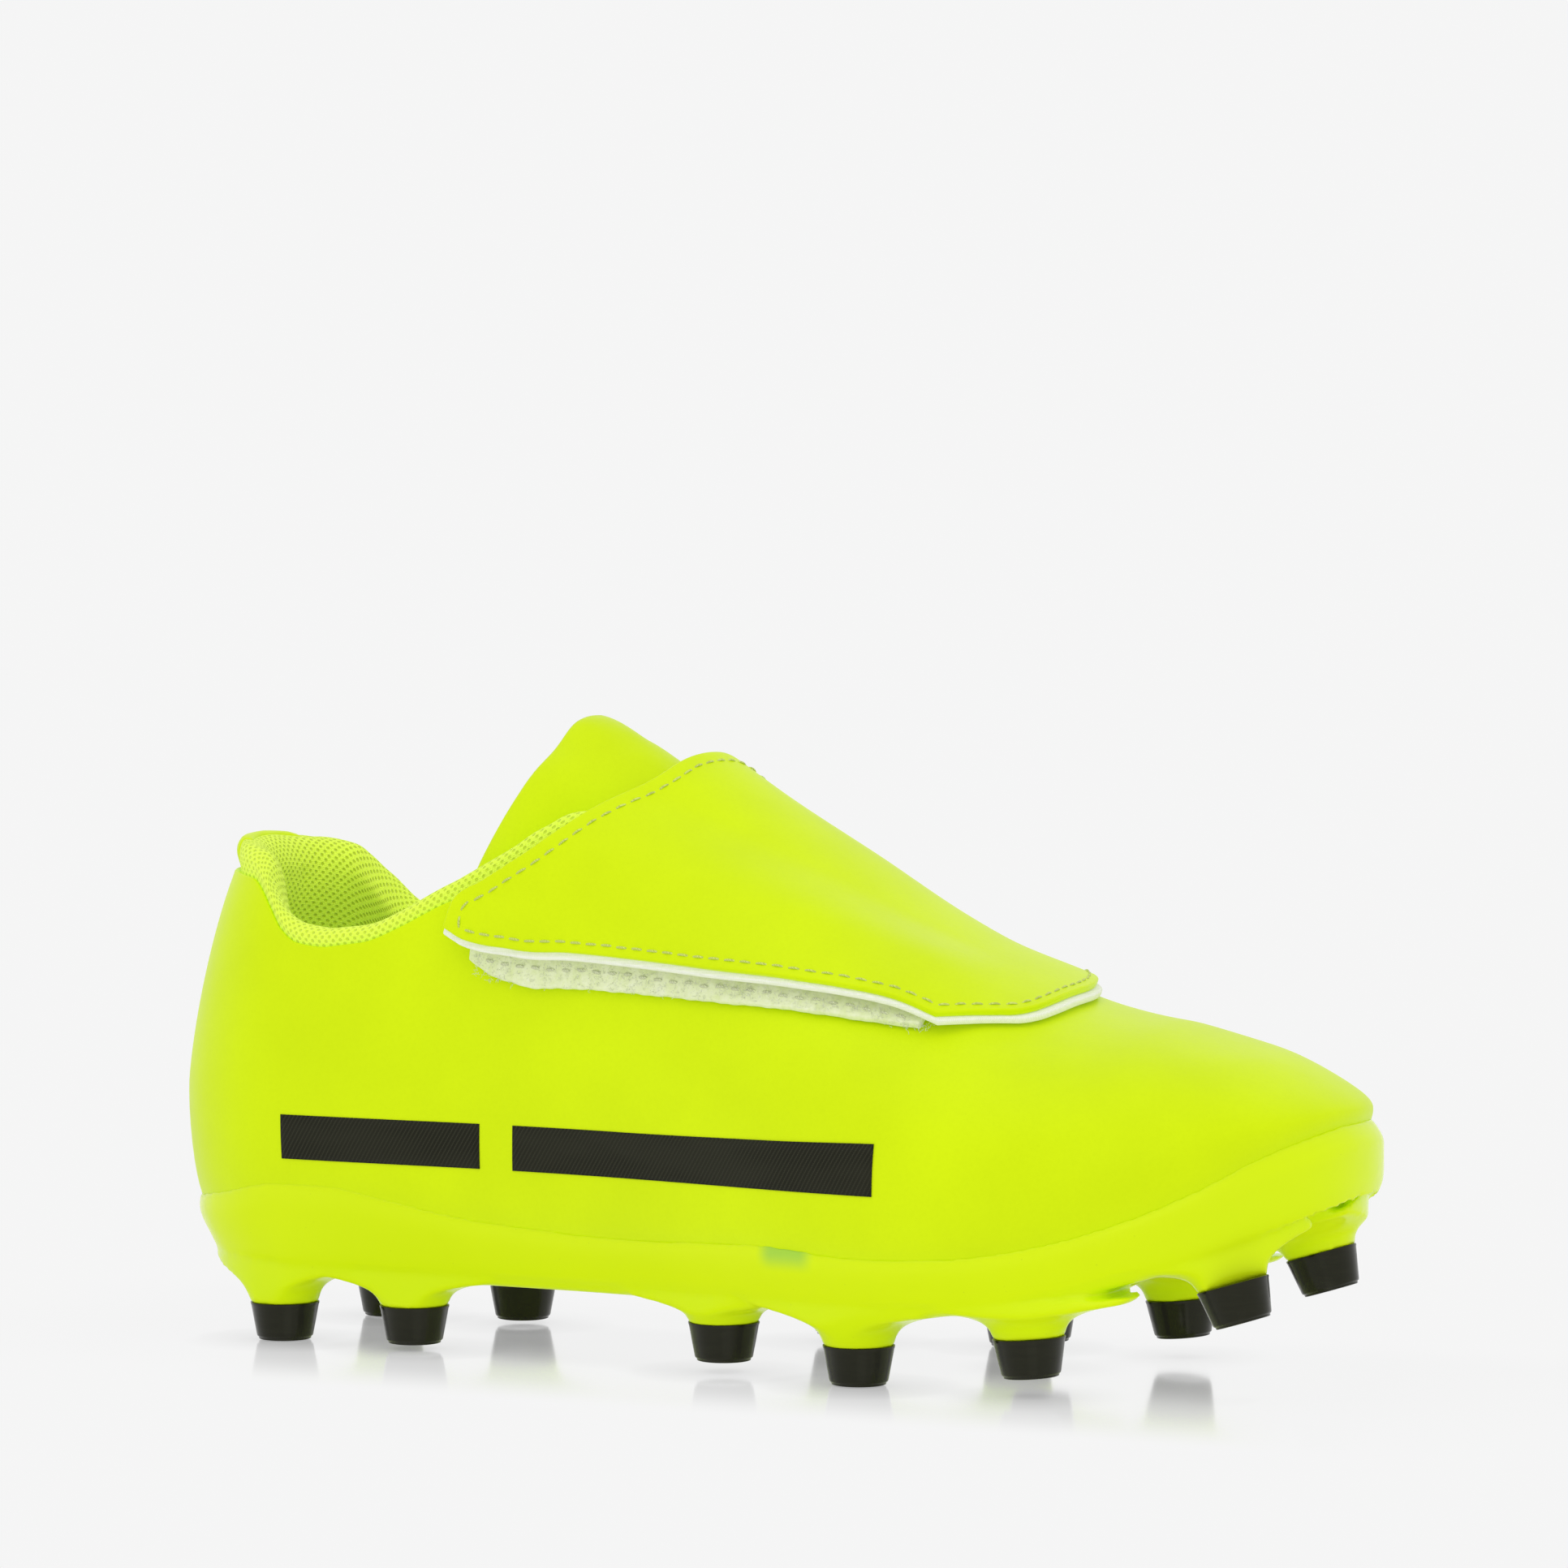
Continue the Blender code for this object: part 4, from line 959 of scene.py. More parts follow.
def hold_in(point, stud_reach, upright):
    """keep a stud's flare flush with the outsole wall; stud_reach is the stud's own reach"""
    x, y, z = point
    section, reach = nearest_rib(x, y)
    if z > section.foot_z:
        wall = section.at(section.angle_at_z(z), WALL_T)[:2] - section.centre
        limit = float(wall @ section.out) + skirt(section) * 0.8
    else:
        limit = section.foot + 1.25 + skirt(section) * 0.9
    if upright:
        # the foot of the flare always covers the tip; higher up the wall decides
        leaning = stud_reach + 5.62 + 0.50 * max(0.0, z - FLARE_START)
        limit = max(min(limit, leaning), stud_reach + 5.55 - 1.5 * max(0.0, z - 7.2))
    if reach > limit:
        return section.point(limit, z)
    return point


def turned(profile, place, lean, sides, stretch=0.0, held=False):
    """turn a (radius, height) profile; held flares are kept inside the outsole wall"""
    points = []
    turn = radians(lean)
    rotation = np.array([[cos(turn), 0, -sin(turn)], [0, 1, 0], [sin(turn), 0, cos(turn)]])
    top = profile[-1][1]
    home, stud_reach = nearest_rib(place[0], place[1])
    out = home.out
    for radius, height in profile:
        for k in range(sides):
            angle = 2 * pi * k / sides
            longer = 1.0 + stretch * max(0.0, (height - 6.0) / max(1e-6, top - 6.0)) ** 2
            point = rotation @ np.array([radius * cos(angle) * longer, radius * sin(angle),
                                         height]) + np.array(place)
            if held:
                if not lean:    # the side towards the wall leans out further
                    towards = max(0.0, cos(angle) * out[0] + sin(angle) * out[1]) ** 1.5
                    push = towards * max(0.0, height - FLARE_START) * 0.5
                    point = point + np.array([out[0], out[1], 0.0]) * push
                point = hold_in(point, stud_reach, not lean)
            points.append(point)
    return points, tube_faces(len(profile), sides) + tube_caps(len(profile), sides)


def stud_base(x, y, z, lean):
    turn = radians(lean)
    rise = (plate_z(x - sin(turn) * 11.0) - z) / cos(turn)
    profile = []
    for i in range(FLARE_STEPS + 1):
        part = i / FLARE_STEPS
        profile.append((FLARE_RADIUS + FLARE_TAPER * part + FLARE_SPREAD * part ** 3.6,
                        FLARE_START + (rise + 0.2 - FLARE_START) * part))
    profile.append((profile[-1][0], rise + 1.3))
    points, faces = turned(profile, (x, y, z), lean, 56, 0.45 if rise > 9.5 else 0.3, held=True)
    return new_mesh("stud_base_tmp", points, faces, MATERIALS['tpu'])


def build_outsole():
    """plate and stud bases, fused by a voxel remesh that also fillets the joints"""
    plate = plate_body()
    bases = [stud_base(*stud[1:]) for stud in STUDS]
    bpy.context.view_layer.update()
    with bpy.context.temp_override(active_object=plate, object=plate,
                                   selected_editable_objects=[plate] + bases):
        bpy.ops.object.join()
    union = plate.modifiers.new("union", 'REMESH')
    union.mode = 'VOXEL'
    union.voxel_size = 0.5 * MM
    union.use_smooth_shade = True
    fillet = plate.modifiers.new("fillet", 'SMOOTH')
    fillet.factor = 0.5
    fillet.iterations = 12
    apply_modifiers(plate)
    plate.data.shade_smooth()
    attach(plate, "boot", "tpu_outsole", "outsole_plate")


build_outsole()
for stud_name, *stud_place, stud_lean in STUDS:
    tip_points, tip_faces = turned(TIP_PROFILE, stud_place, stud_lean, 64)
    tip = new_mesh("stud_tip_turned_" + stud_name, tip_points, tip_faces, MATERIALS['stud'])
    align_normals(tip)
    tip.data.set_sharp_from_angle(angle=radians(50))
    attach(tip, "boot", "stud_black", "stud_tip_" + stud_name)

# ============================================================ collar roll
COLLAR_POINTS = 46              # samples round the section of the roll
COLLAR_STEP = 1.3


def collar_run():
    """ribs from the lateral front of the collar round the heel to the medial front"""
    stations = [x for x in side_stations(COLLAR_STEP, HEEL_X, COLLAR_FRONT_X + COLLAR_STEP)
                if x <= COLLAR_FRONT_X]
    ribs = [rib('side', (-1, x)) for x in stations[::-1]]
    ribs += [rib('heel', -90 + 180 * i / 60) for i in range(61)]
    return ribs + [rib('side', (1, x)) for x in stations]


def collar_section(section):
    """from under the shell's edge, over the roll, and down inside to the lining"""
    full = smooth(88, 74, section.place[1]) if section.kind == 'side' else 1.0
    x, top = max(0.0, section.x), section.top
    height = roll_height(x) * (0.35 + 0.65 * full)
    thick = roll_thickness(x) * (0.62 + 0.38 * full)
    per_mm = section.degrees_per_mm(top)
    groove = section.facing ** 2        # groove behind the shell's edge, at the heel
    swell_out = 0.75 * full
    # angle, offset
    path = [(top - 1.8 * per_mm, -1.45), (top - 0.4 * per_mm, -1.0 - 0.3 * groove),
            (top + 0.12 * height * per_mm, -0.15 - 0.9 * groove),
            (top + 0.34 * height * per_mm, swell_out - 0.35 * groove),
            (top + 0.64 * height * per_mm, swell_out), (top + 0.90 * height * per_mm, -0.75),
            (top + 1.0 * height * per_mm, -0.5 * thick),
            (top + 0.88 * height * per_mm, -thick + 0.7),
            (top + 0.46 * height * per_mm, -thick - 0.1), (top - 1.5 * per_mm, -thick - 0.1),
            (18 + 0.35 * (top - 18), -3.4 - 0.35 * max(0.0, thick - 3.4)), (17.5, -3.35)]
    return [section.at(angle, offset) for angle, offset in path]


COLLAR_RIBS = collar_run()


def roll_core(point):
    """nearest point inside the roll"""
    cores = [to_scene(section.at(section.top, -2.6)) for section in COLLAR_RIBS[::4]]
    return min(cores, key=lambda core: (core - point).length)


def collar_shape():
    points, uv = [], []
    along, previous = 0.0, None
    for section in COLLAR_RIBS:
        row, length = even_spline(collar_section(section), COLLAR_POINTS)
        if previous is not None:
            along += float(norm(row[14] - previous))
        previous = row[14]
        points += list(row)
        uv += [(along, length * j / (COLLAR_POINTS - 1)) for j in range(COLLAR_POINTS)]
    ob = new_mesh("collar_mesh_roll", points, grid_faces(len(COLLAR_RIBS), COLLAR_POINTS),
                  MATERIALS['mesh'], uv)
    align_normals(ob, roll_core)
    return ob


collar = collar_shape()


# ============================================================ lining, sockliner
SOCK_BASE = PLATE_T + GAP + UPPER_T + GAP + BOARD_T + GAP
# section of the sockliner: share of the half width, height above its base
SOCK_SECTION = [
    (0.25, 0.0), (0.6, 0.0), (0.9, 0.1), (1.0, 0.9), (1.0, 2.6), (0.985, 3.6), (0.95, 3.95),
    (0.88, 3.95), (0.7, 3.85), (0.45, 3.8), (0.2, 3.8), (0.0, 3.8)]


def lining_top(section):
    """under the collar the lining stops low; ahead of it, it climbs to the upper's edge"""
    x = section.place[1] if section.kind == 'side' else None
    if section.kind == 'heel' or (x is not None and x <= COLLAR_FRONT_X):
        return 19.0
    if x is not None and x < 100:
        return 19.0 + (section.top - 1.2 - 19.0) * smooth(COLLAR_FRONT_X, 100, x)
    return section.top - 1.2 if section.top < 90 else 90.0


def build_lining():
    ribs = rib_loop(14, 12, side_stations(4.0))
    points, uv = [], []
    for section in ribs:
        offset = lining_offset(section.x)
        low = section.angle_at_z(section.foot_z + BOARD_T + UPPER_T + 1.0)
        high = lining_top(section)
        for part in np.linspace(0, 1, 7)[:-1]:
            points.append(section.at(low * (1 - part), offset))
            uv.append((section.run, low * (1 - part)))
        for part in np.linspace(0, 1, 14):
            points.append(section.at(high * part, offset))
            uv.append((section.run, high * part * 0.7))
    ob = new_mesh("upper_lining_knit", points, grid_faces(len(ribs), 20, True),
                  MATERIALS['lining'], uv, weld=True)
    align_normals(ob, spine_point)
    solidify(ob, 0.8)
    attach(ob, "boot", "lining_fabric", "upper_lining")


def build_sockliner():
    ribs = rib_loop(16, 14, side_stations(3.0))
    points, uv = [], []
    for section in ribs:
        width = (section.width - foot_inset(section.x) * 0.62 + lining_offset(section.x) - 1.6)
        points.append(section.on_plate(0.0, SOCK_BASE))
        uv.append(tuple(section.centre))
        for share, height in SOCK_SECTION:
            cup = 0.9 * max(0.0, share - 0.7) / 0.3 if height > 2 else 0.0
            points.append(section.on_plate(width * share, SOCK_BASE + height + cup * 0.6))
            uv.append(tuple(section.centre + section.out * width * share))
    ob = new_mesh("sockliner_padded", points,
                  grid_faces(len(ribs), len(SOCK_SECTION) + 1, True), MATERIALS['sock'], uv,
                  weld=True)

    def middle(point):
        x = last_x(point)
        return to_scene((min(max(x, HEEL_X), TOE_X), 2.0, plate_z(x) + SOCK_BASE + 2.0))
    align_normals(ob, middle)
    attach(ob, "boot", "sock_cover", "sockliner_foam", "sockliner_cover")


build_lining()
build_sockliner()

# ============================================================ cloth swell for padded pieces
CLOTH_SCALE = 10.0              # the solver suits garment sizes, so pieces run this much larger
CLOTH_STIFFNESS = 12.0


def swell(ob, cap, pressure, frames, pins):
    """puff a padded piece with Cloth, each point moving at most cap millimetres"""
    rest = get_points(ob.data)
    group = ob.vertex_groups.new(name="pin")
    for i in np.where(pins > 0)[0]:
        group.add([int(i)], float(pins[i]), 'REPLACE')
    scene = bpy.context.scene
    scene.frame_start, scene.frame_end = 1, frames
    scene.frame_set(1)
    set_points(ob.data, rest * CLOTH_SCALE)
    mod = ob.modifiers.new("swell", 'CLOTH')
    settings = mod.settings
    settings.quality = 4
    settings.mass = 0.25
    settings.tension_stiffness = CLOTH_STIFFNESS
    settings.compression_stiffness = CLOTH_STIFFNESS
    settings.shear_stiffness = CLOTH_STIFFNESS * 0.4
    settings.bending_stiffness = 0.6
    settings.use_pressure = True
    settings.uniform_pressure_force = pressure
    settings.effector_weights.gravity = 0.0
    mod.collision_settings.use_collision = False
    settings.vertex_group_mass = "pin"
    for number in range(1, frames + 1):
        scene.frame_set(number)
    evaluated = ob.evaluated_get(bpy.context.evaluated_depsgraph_get())
    swollen = get_points(evaluated.to_mesh())
    evaluated.to_mesh_clear()
    ob.modifiers.remove(mod)
    scene.frame_set(1)
    moved = swollen / CLOTH_SCALE - rest
    lengths = norm(moved, axis=1, keepdims=True)
    moved = moved * np.minimum(1.0, cap * MM / np.maximum(lengths, 1e-12))
    set_points(ob.data, rest + moved)


def collar_pins():
    """hold the roll where it meets the shell and the lining, and at its two ends"""
    pins = np.zeros((len(COLLAR_RIBS), COLLAR_POINTS))
    pins[:, 5:8] = 0.5
    pins[:, :5] = pins[:, -3:] = 1.0
    pins[:2] = pins[-2:] = 1.0
    return pins.ravel()


swell(collar, cap=0.9, pressure=4.0, frames=18, pins=collar_pins())
collar_grid = get_points(collar.data).reshape(len(COLLAR_RIBS), COLLAR_POINTS, 3)
subdivide(collar)
solidify(collar, 0.7)
attach(collar, "boot", "mesh_lining", "collar_lining", "collar_foam")


# ============================================================ heel tab
def build_heel_tab():
    """soft patch at the heel's back, laid on the finished roll so the two never cross"""
    columns = [i for i, section in enumerate(COLLAR_RIBS)
               if section.kind == 'heel' and abs(section.place) <= 31.0]
    first, last = 3, 11         # points of the roll's section that it covers
    heel_middle = np.array(to_scene((HEEL_X, 0.0, 60.0)))
    points, uv = [], []
    for k, i in enumerate(columns):
        for j in range(first, last + 1):
            spot = collar_grid[i, j]
            normal = unit(np.cross(collar_grid[i + 1, j] - collar_grid[i - 1, j],
                                   collar_grid[i, j + 1] - collar_grid[i, j - 1]))
            if normal @ (spot - heel_middle) < 0:
                normal = -normal
            edge = (min(1.0, (j - first) / 4.0, (last - j) / 4.0)
                    * min(1.0, k / 2.5, (len(columns) - 1 - k) / 2.5))
            domed = 1 - (1 - edge) ** 2
            points.append((spot + normal * (0.10 + 0.75 * domed) * MM) / MM
                          + np.array([ORIGIN[0], ORIGIN[1], 0.0]))
            uv.append((k * 1.5, j * 0.6))
    ob = new_mesh("heel_tab_pad", points, grid_faces(len(columns), last - first + 1),
                  MATERIALS['tab'], uv)
    align_normals(ob, roll_core)
    solidify(ob, 0.55)
    subdivide(ob)
    attach(ob, "boot", "pu_upper", "heel_tab")


build_heel_tab()

# ============================================================ tongue
TONGUE_HALF_ARC = 57
TONGUE_BASE_X, TONGUE_OFFSET, TONGUE_T = 130.0, -3.3, 4.6
TONGUE_ACROSS, TONGUE_ALONG = 41, 44
tongue_top_x = monotone_curve([ # by degrees off the ridge
    (0, 72.3), (9, 71.2), (21, 68.8), (31, 65.4), (40, 62.2), (45, 61.0), (51, 60.0), (57, 59.2)])
tongue_half_psi = monotone_curve([(59, 57), (75, 56), (90, 50), (105, 38), (118, 26), (130, 22)])


def tongue_point(along, across, depth):
    """along 0 at the free top to 1 at the base, across -1 lateral to 1 medial"""
    top_x = tongue_top_x(abs(across) * TONGUE_HALF_ARC)
    x = top_x + (TONGUE_BASE_X - top_x) * along
    psi = across * tongue_half_psi(x)
    offset = (TONGUE_OFFSET - 2.2 * smooth(25, 44, abs(psi)) * (1 - smooth(82, 104, x))
              - 1.6 * max(smooth(10, 21, abs(psi)), smooth(96, 112, x)))
    return surface(x, psi, offset - depth)


def tongue_skin_point(is_inner, along, across):
    # thickness closes towards the edges, as a turned pad does
    edge = min(1.0, (1 - abs(across)) / 0.20) * min(1.0, (along + 0.010) / 0.10)
    edge = sqrt(max(0.0, 1 - (1 - edge) ** 2))
    depth = 1.5 + (TONGUE_T - 1.4) * edge if is_inner else 0.75 - 0.95 * edge
    point = tongue_point(along, across, depth)
    # push the free edges out, fuller at the sides
    outwards = point - tongue_point(min(1.0, along + 0.03), across * 0.96, depth)
    return point + (outwards / (norm(outwards) + 1e-9)
                    * (1.5 + 2.3 * smooth(0.5, 0.95, abs(across)))
                    * (1 - min(1.0, (1 - abs(across)) / 0.3) * min(1.0, along / 0.14))
                    * (1 - smooth(0.35, 0.6, along)))


def tongue_faces():
    """outer skin, inner skin, then the rim between them; also the outer skin's face count"""
    rows, columns = TONGUE_ACROSS, TONGUE_ALONG
    inner, end = rows * columns, columns - 1
    outer_faces = grid_faces(rows, columns)
    faces = outer_faces + [f[::-1] for f in grid_faces(rows, columns, False, inner)]
    for i in range(rows - 1):
        here, there = i * columns, (i + 1) * columns
        faces.append((here, there, inner + there, inner + here))
        faces.append((here + end, there + end, inner + there + end, inner + here + end)[::-1])
    for j in range(columns - 1):
        far = (rows - 1) * columns + j
        faces.append((j, j + 1, inner + j + 1, inner + j)[::-1])
        faces.append((far, far + 1, inner + far + 1, inner + far))
    return faces, len(outer_faces)


def build_tongue():
    alongs = np.linspace(0, 1, TONGUE_ALONG) ** 1.15
    points, uv = [], []
    for is_inner in (0, 1):
        for across in np.linspace(-1, 1, TONGUE_ACROSS):
            for along in alongs:
                points.append(tongue_skin_point(is_inner, along, across))
                uv.append((across * 17 + (60 if is_inner else 0), along * 62))
    faces, outer_count = tongue_faces()
    ob = new_mesh("tongue_pad", points, faces, [MATERIALS['tongue'], MATERIALS['mesh']], uv,
                  face_slots=[0] * outer_count + [1] * (len(faces) - outer_count))
    align_normals(ob)
    pins = np.zeros((2, TONGUE_ACROSS, TONGUE_ALONG))
    pins[:, [0, -1]] = 0.9
    pins[:, :, 0] = 0.9
    pins[:, :, alongs > 0.75] = 1.0
    swell(ob, cap=0.5, pressure=3.0, frames=16, pins=pins.ravel())
    subdivide(ob)
    attach(ob, "tongue", "pu_upper", "tongue_face", "tongue_foam", "tongue_lining")


build_tongue()

# ============================================================ strap
# edges as (x, psi): lower edge on the lateral side; rear and front edges from it up to the root
STRAP_LOW = [
    (60.5, -63.6), (64.4, -64.9), (68.5, -65.2), (73, -65), (82.3, -62.8), (89.5, -60.8),
    (100.2, -57.7), (110.8, -54.6), (122.2, -50), (128.6, -46.8), (136.3, -43.4), (140.5, -42.2),
    (144, -41.8)]
STRAP_REAR = [
    (60.5, -63.6), (61.7, -59.8), (66.7, -56.6), (73, -52), (78.6, -45.2), (85.4, -33.1),
    (89.2, -23.5), (91, -14), (92.5, -4), (94, 10), (97, 28)]
STRAP_FRONT = [
    (144, -41.8), (146.3, -38.6), (148.7, -35.3), (151.2, -32.4), (153.7, -29.4), (155.8, -23.6),
    (156.9, -14.8), (157.2, -5.2), (155.4, 6), (152.2, 16), (149.6, 25), (148, 33), (146.8, 39.5)]
ROOT_X = (100.0, 146.0)         # the sewn root, on the medial side
ROOT_PSI = 46.0
STRAP_BASE, STRAP_LIFT, STRAP_TOTAL = 0.4, 2.7, 2.6
strap_low = monotone_curve(STRAP_LOW)


def strap_height(x, psi):
    above_edge = psi - strap_low(x)
    return STRAP_BASE + STRAP_LIFT * (1 - smooth(14, 34, above_edge)) * (1 - smooth(136, 150, x))


def strap_top(x, psi):
    return surface(x, psi, strap_height(x, psi) + STRAP_TOTAL)


def edge_curve(points):
    """(x, psi) along an edge, by a share of its length"""
    points = np.array(points, float)
    share = np.concatenate([[0], np.cumsum(np.hypot(np.diff(points[:, 0]),
                                                    0.55 * np.diff(points[:, 1])))])
    share /= share[-1]
    x_at = monotone_curve(np.stack([share, points[:, 0]], 1))
    psi_at = monotone_curve(np.stack([share, points[:, 1]], 1))
    return lambda t: np.array([x_at(t), psi_at(t)])


# the straight line the strap bends about, and the way up the strap from it
root_rear, root_front = [surface(x, ROOT_PSI, STRAP_BASE + STRAP_TOTAL) for x in ROOT_X]
root_axis = (root_front - root_rear) / norm(root_front - root_rear)
root_middle_x = 0.5 * (ROOT_X[0] + ROOT_X[1])
root_up = surface(root_middle_x, ROOT_PSI - 4, 3.0) - surface(root_middle_x, ROOT_PSI + 4, 3.0)
root_up -= (root_up @ root_axis) * root_axis
root_up /= norm(root_up)


def root_psi(x):
    """psi at which the strap is 0.25 mm up from the root line"""
    low, high = 25.0, 70.0
    for _ in range(40):
        middle = 0.5 * (low + high)
        if (surface(x, middle, STRAP_BASE + STRAP_TOTAL) - root_rear) @ root_up > 0.25:
            low = middle
        else:
            high = middle
    return 0.5 * (low + high)


root_points = [(x, root_psi(x)) for x in np.linspace(*ROOT_X, 7)]
rear_edge = edge_curve(STRAP_REAR + [root_points[0]])
front_edge = edge_curve(STRAP_FRONT + [root_points[-1]])
low_edge = edge_curve(STRAP_LOW)
root_edge = edge_curve(root_points)


def strap_place(a, b):
    """(x, psi) inside the four edges, a rear to front and b lower edge to root"""
    return ((1 - a) * rear_edge(b) + a * front_edge(b) + (1 - b) * low_edge(a) + b * root_edge(a)
            - ((1 - a) * (1 - b) * rear_edge(0) + (1 - a) * b * rear_edge(1)
               + a * (1 - b) * front_edge(0) + a * b * front_edge(1)))


def strap_sheet(name, offset, material, columns, rows, grow=0.0):
    """one layer of the strap; grow pushes its free edges out so that it shows as a line"""
    points, uv = [], []
    for i in range(columns + 1):
        for j in range(rows + 1):
            a, b = i / columns, j / rows
            x, psi = strap_place(a, b)
            points.append(surface(x, psi, strap_height(x, psi) + offset))
            uv.append((a * 80, b * 75))
    grid = np.array(points).reshape(columns + 1, rows + 1, 3)
    if grow:
        for edge, inside, amount in ((np.s_[:, 0], np.s_[:, 1], grow), (-1, -2, grow),
                                     (0, 1, grow * 0.5)):
            out = grid[edge] - grid[inside]
            grid[edge] += amount * out / norm(out, axis=1, keepdims=True)
    ob = new_mesh(name, grid.reshape(-1, 3), grid_faces(columns + 1, rows + 1), material, uv)
    align_normals(ob, spine_point)
    return ob


def blend_strap(ob):
    """bake the layer's placing into its points"""
    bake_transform(ob)


strap_face = strap_sheet("strap_face_pu", STRAP_TOTAL, MATERIALS['strap'], 70, 72)
solidify(strap_face, 1.15)
bevel(strap_face, 0.32, segments=3)
strap_backing = strap_sheet("strap_backing_cloth", STRAP_TOTAL - 1.25, MATERIALS['backing'],
                            60, 60, grow=0.75)
solidify(strap_backing, 1.15)
bevel(strap_backing, 0.3)
for layer, cad_node, layer_slot in ((strap_face, "strap_face", "pu_upper"),
                                    (strap_backing, "strap_backing", "strap_backing")):
    blend_strap(layer)
    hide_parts(cad_node)


def pad_sheet(name, ends, rise, offset, material, columns, rows, taper, rough=0.0):
    """a patch along the strap's lower edge

    ends are its x limits, rise its limits in degrees above the edge, taper its narrowing at
    the ends and rough the waviness of its outline.
    """
    points, uv = [], []
    for i in range(columns + 1):
        part = i / columns
        x = ends[0] + (ends[1] - ends[0]) * part
        narrowing = taper * (max(0.0, abs(2 * part - 1) - 0.7) / 0.3) ** 2
        low = strap_low(x) + rise[0] + narrowing
        high = min(strap_low(x) + rise[1] - narrowing, side_top(x) - 93.0)
        for j in range(rows + 1):
            wobble = rough * (0.6 * sin(x * 0.9) + 0.5 * sin(x * 2.3 + 1)) * (1 - j / rows) ** 2
            psi = low + (high - low) * j / rows + wobble
            points.append(surface(x, psi, offset + 0.12 * sin(x * 3.1 + j) * rough))
            uv.append((x, j * (high - low) / rows * 0.55))
    ob = new_mesh(name, points, grid_faces(columns + 1, rows + 1), material, uv)
    align_normals(ob, spine_point)
    return ob


loop_patch = pad_sheet("quarter_loop_pile", ends=(63.5, 141), rise=(-3.6, 15), offset=1.55,
                       material=MATERIALS['pile'], columns=150, rows=22, taper=2.0, rough=0.10)
solidify(loop_patch, 1.2)
bevel(loop_patch, 0.35)
attach(loop_patch, "boot", "loop_pile", "quarter_loop_patch")
hook_pad = pad_sheet("strap_hook_tape", ends=(72, 132), rise=(2.5, 12.0), offset=2.95,
                     material=MATERIALS['hook'], columns=60, rows=12, taper=1.5)
solidify(hook_pad, 0.8)
attach(hook_pad, "strap", "hook_tape", "strap_hook_pad")

# ============================================================ stitches
# a bent capsule: place along its length, share of its radius, height over the surface
STITCH_PROFILE = [
    (-0.5, 0.05, -0.30), (-0.42, 0.75, -0.02), (-0.2, 1.0, 0.12), (0.0, 1.0, 0.17),
    (0.2, 1.0, 0.12), (0.42, 0.75, -0.02), (0.5, 0.05, -0.30)]
STITCH_SIDES = 6


def stitch_capsules(centres, normals, tangents, length, radius):
    """short stitches lying on a surface, their ends dipping under it"""
    points, faces = [], []
    for centre, normal, tangent in zip(centres, normals, tangents):
        tangent = unit(tangent)
        normal = unit(normal - (normal @ tangent) * tangent)
        side = np.cross(normal, tangent)
        base = len(points)
        for along, share, height in STITCH_PROFILE:
            for k in range(STITCH_SIDES):
                angle = 2 * pi * k / STITCH_SIDES
                points.append(centre + tangent * along * length
                              + normal * (height + share * radius * sin(angle))
                              + side * share * radius * cos(angle) * 1.25)
        faces += tube_faces(len(STITCH_PROFILE), STITCH_SIDES, base)
        faces += tube_caps(len(STITCH_PROFILE), STITCH_SIDES, base)
    return points, faces


def stitch_line(name, samples, pitch, length, radius, material, jitter):
    """stitches at a fixed pitch along (point, normal) samples"""
    line = np.array([point for point, _ in samples])
    line_normals = np.array([normal for _, normal in samples])
    arc = arc_lengths(line)
    count = int(arc[-1] / pitch)
    at = (np.arange(count) + 0.5) * arc[-1] / count
    centres = resample(at, arc, line)
    normals = resample(at, arc, line_normals)
    tangents = resample(at + 0.3, arc, line) - resample(at - 0.3, arc, line)
    side = np.cross(normals, tangents)
    side /= norm(side, axis=1, keepdims=True)
    centres = centres + side * (stitch_rng.rand(count, 1) - 0.5) * jitter
    tangents = tangents + side * (stitch_rng.rand(count, 1) - 0.5) * jitter * 0.5
    points, faces = stitch_capsules(centres, normals, tangents, length, radius)
    return new_mesh(name, points, faces, material)


def strap_inset_path(rear, low, front):
    """(x, psi) path at true distances from the strap's rear, lower and front edges"""
    edge = ([(rear_edge(b), rear) for b in np.linspace(0.93, 0.0, 150)[:-1]]
            + [(low_edge(a), low) for a in np.linspace(0, 1, 170)[:-1]]
            + [(front_edge(b), front) for b in np.linspace(0, 0.95, 130)])
    insets = np.array([inset for _, inset in edge])
    rim = np.array([strap_top(*place) for place, _ in edge])
    middle = strap_top(118.0, -12.0)
    path = []
    for i, (place, inset) in enumerate(edge):
        x, psi = place
        tangent = rim[min(i + 1, len(edge) - 1)] - rim[max(i - 1, 0)]
        tangent /= norm(tangent)
        slopes = np.stack([(strap_top(x + 0.3, psi) - strap_top(x - 0.3, psi)) / 0.6,
                           (strap_top(x, psi + 0.4) - strap_top(x, psi - 0.4)) / 0.8], 1)
        normal = np.cross(slopes[:, 0], slopes[:, 1])
        normal /= norm(normal)
        inwards = np.cross(normal, tangent)
        if inwards @ (middle - rim[i]) < 0:
            inwards = -inwards
        spot = place + np.linalg.lstsq(slopes, inwards * inset, rcond=None)[0]
        # leave out spots that come too near another edge, at the corners
        if np.min(norm(rim - strap_top(*spot), axis=1) - 0.90 * insets) >= 0:
            path.append(spot)
    path = np.array(path)
    for _ in range(5):
        path[1:-1] = 0.5 * path[1:-1] + 0.25 * (path[2:] + path[:-2])
    return path


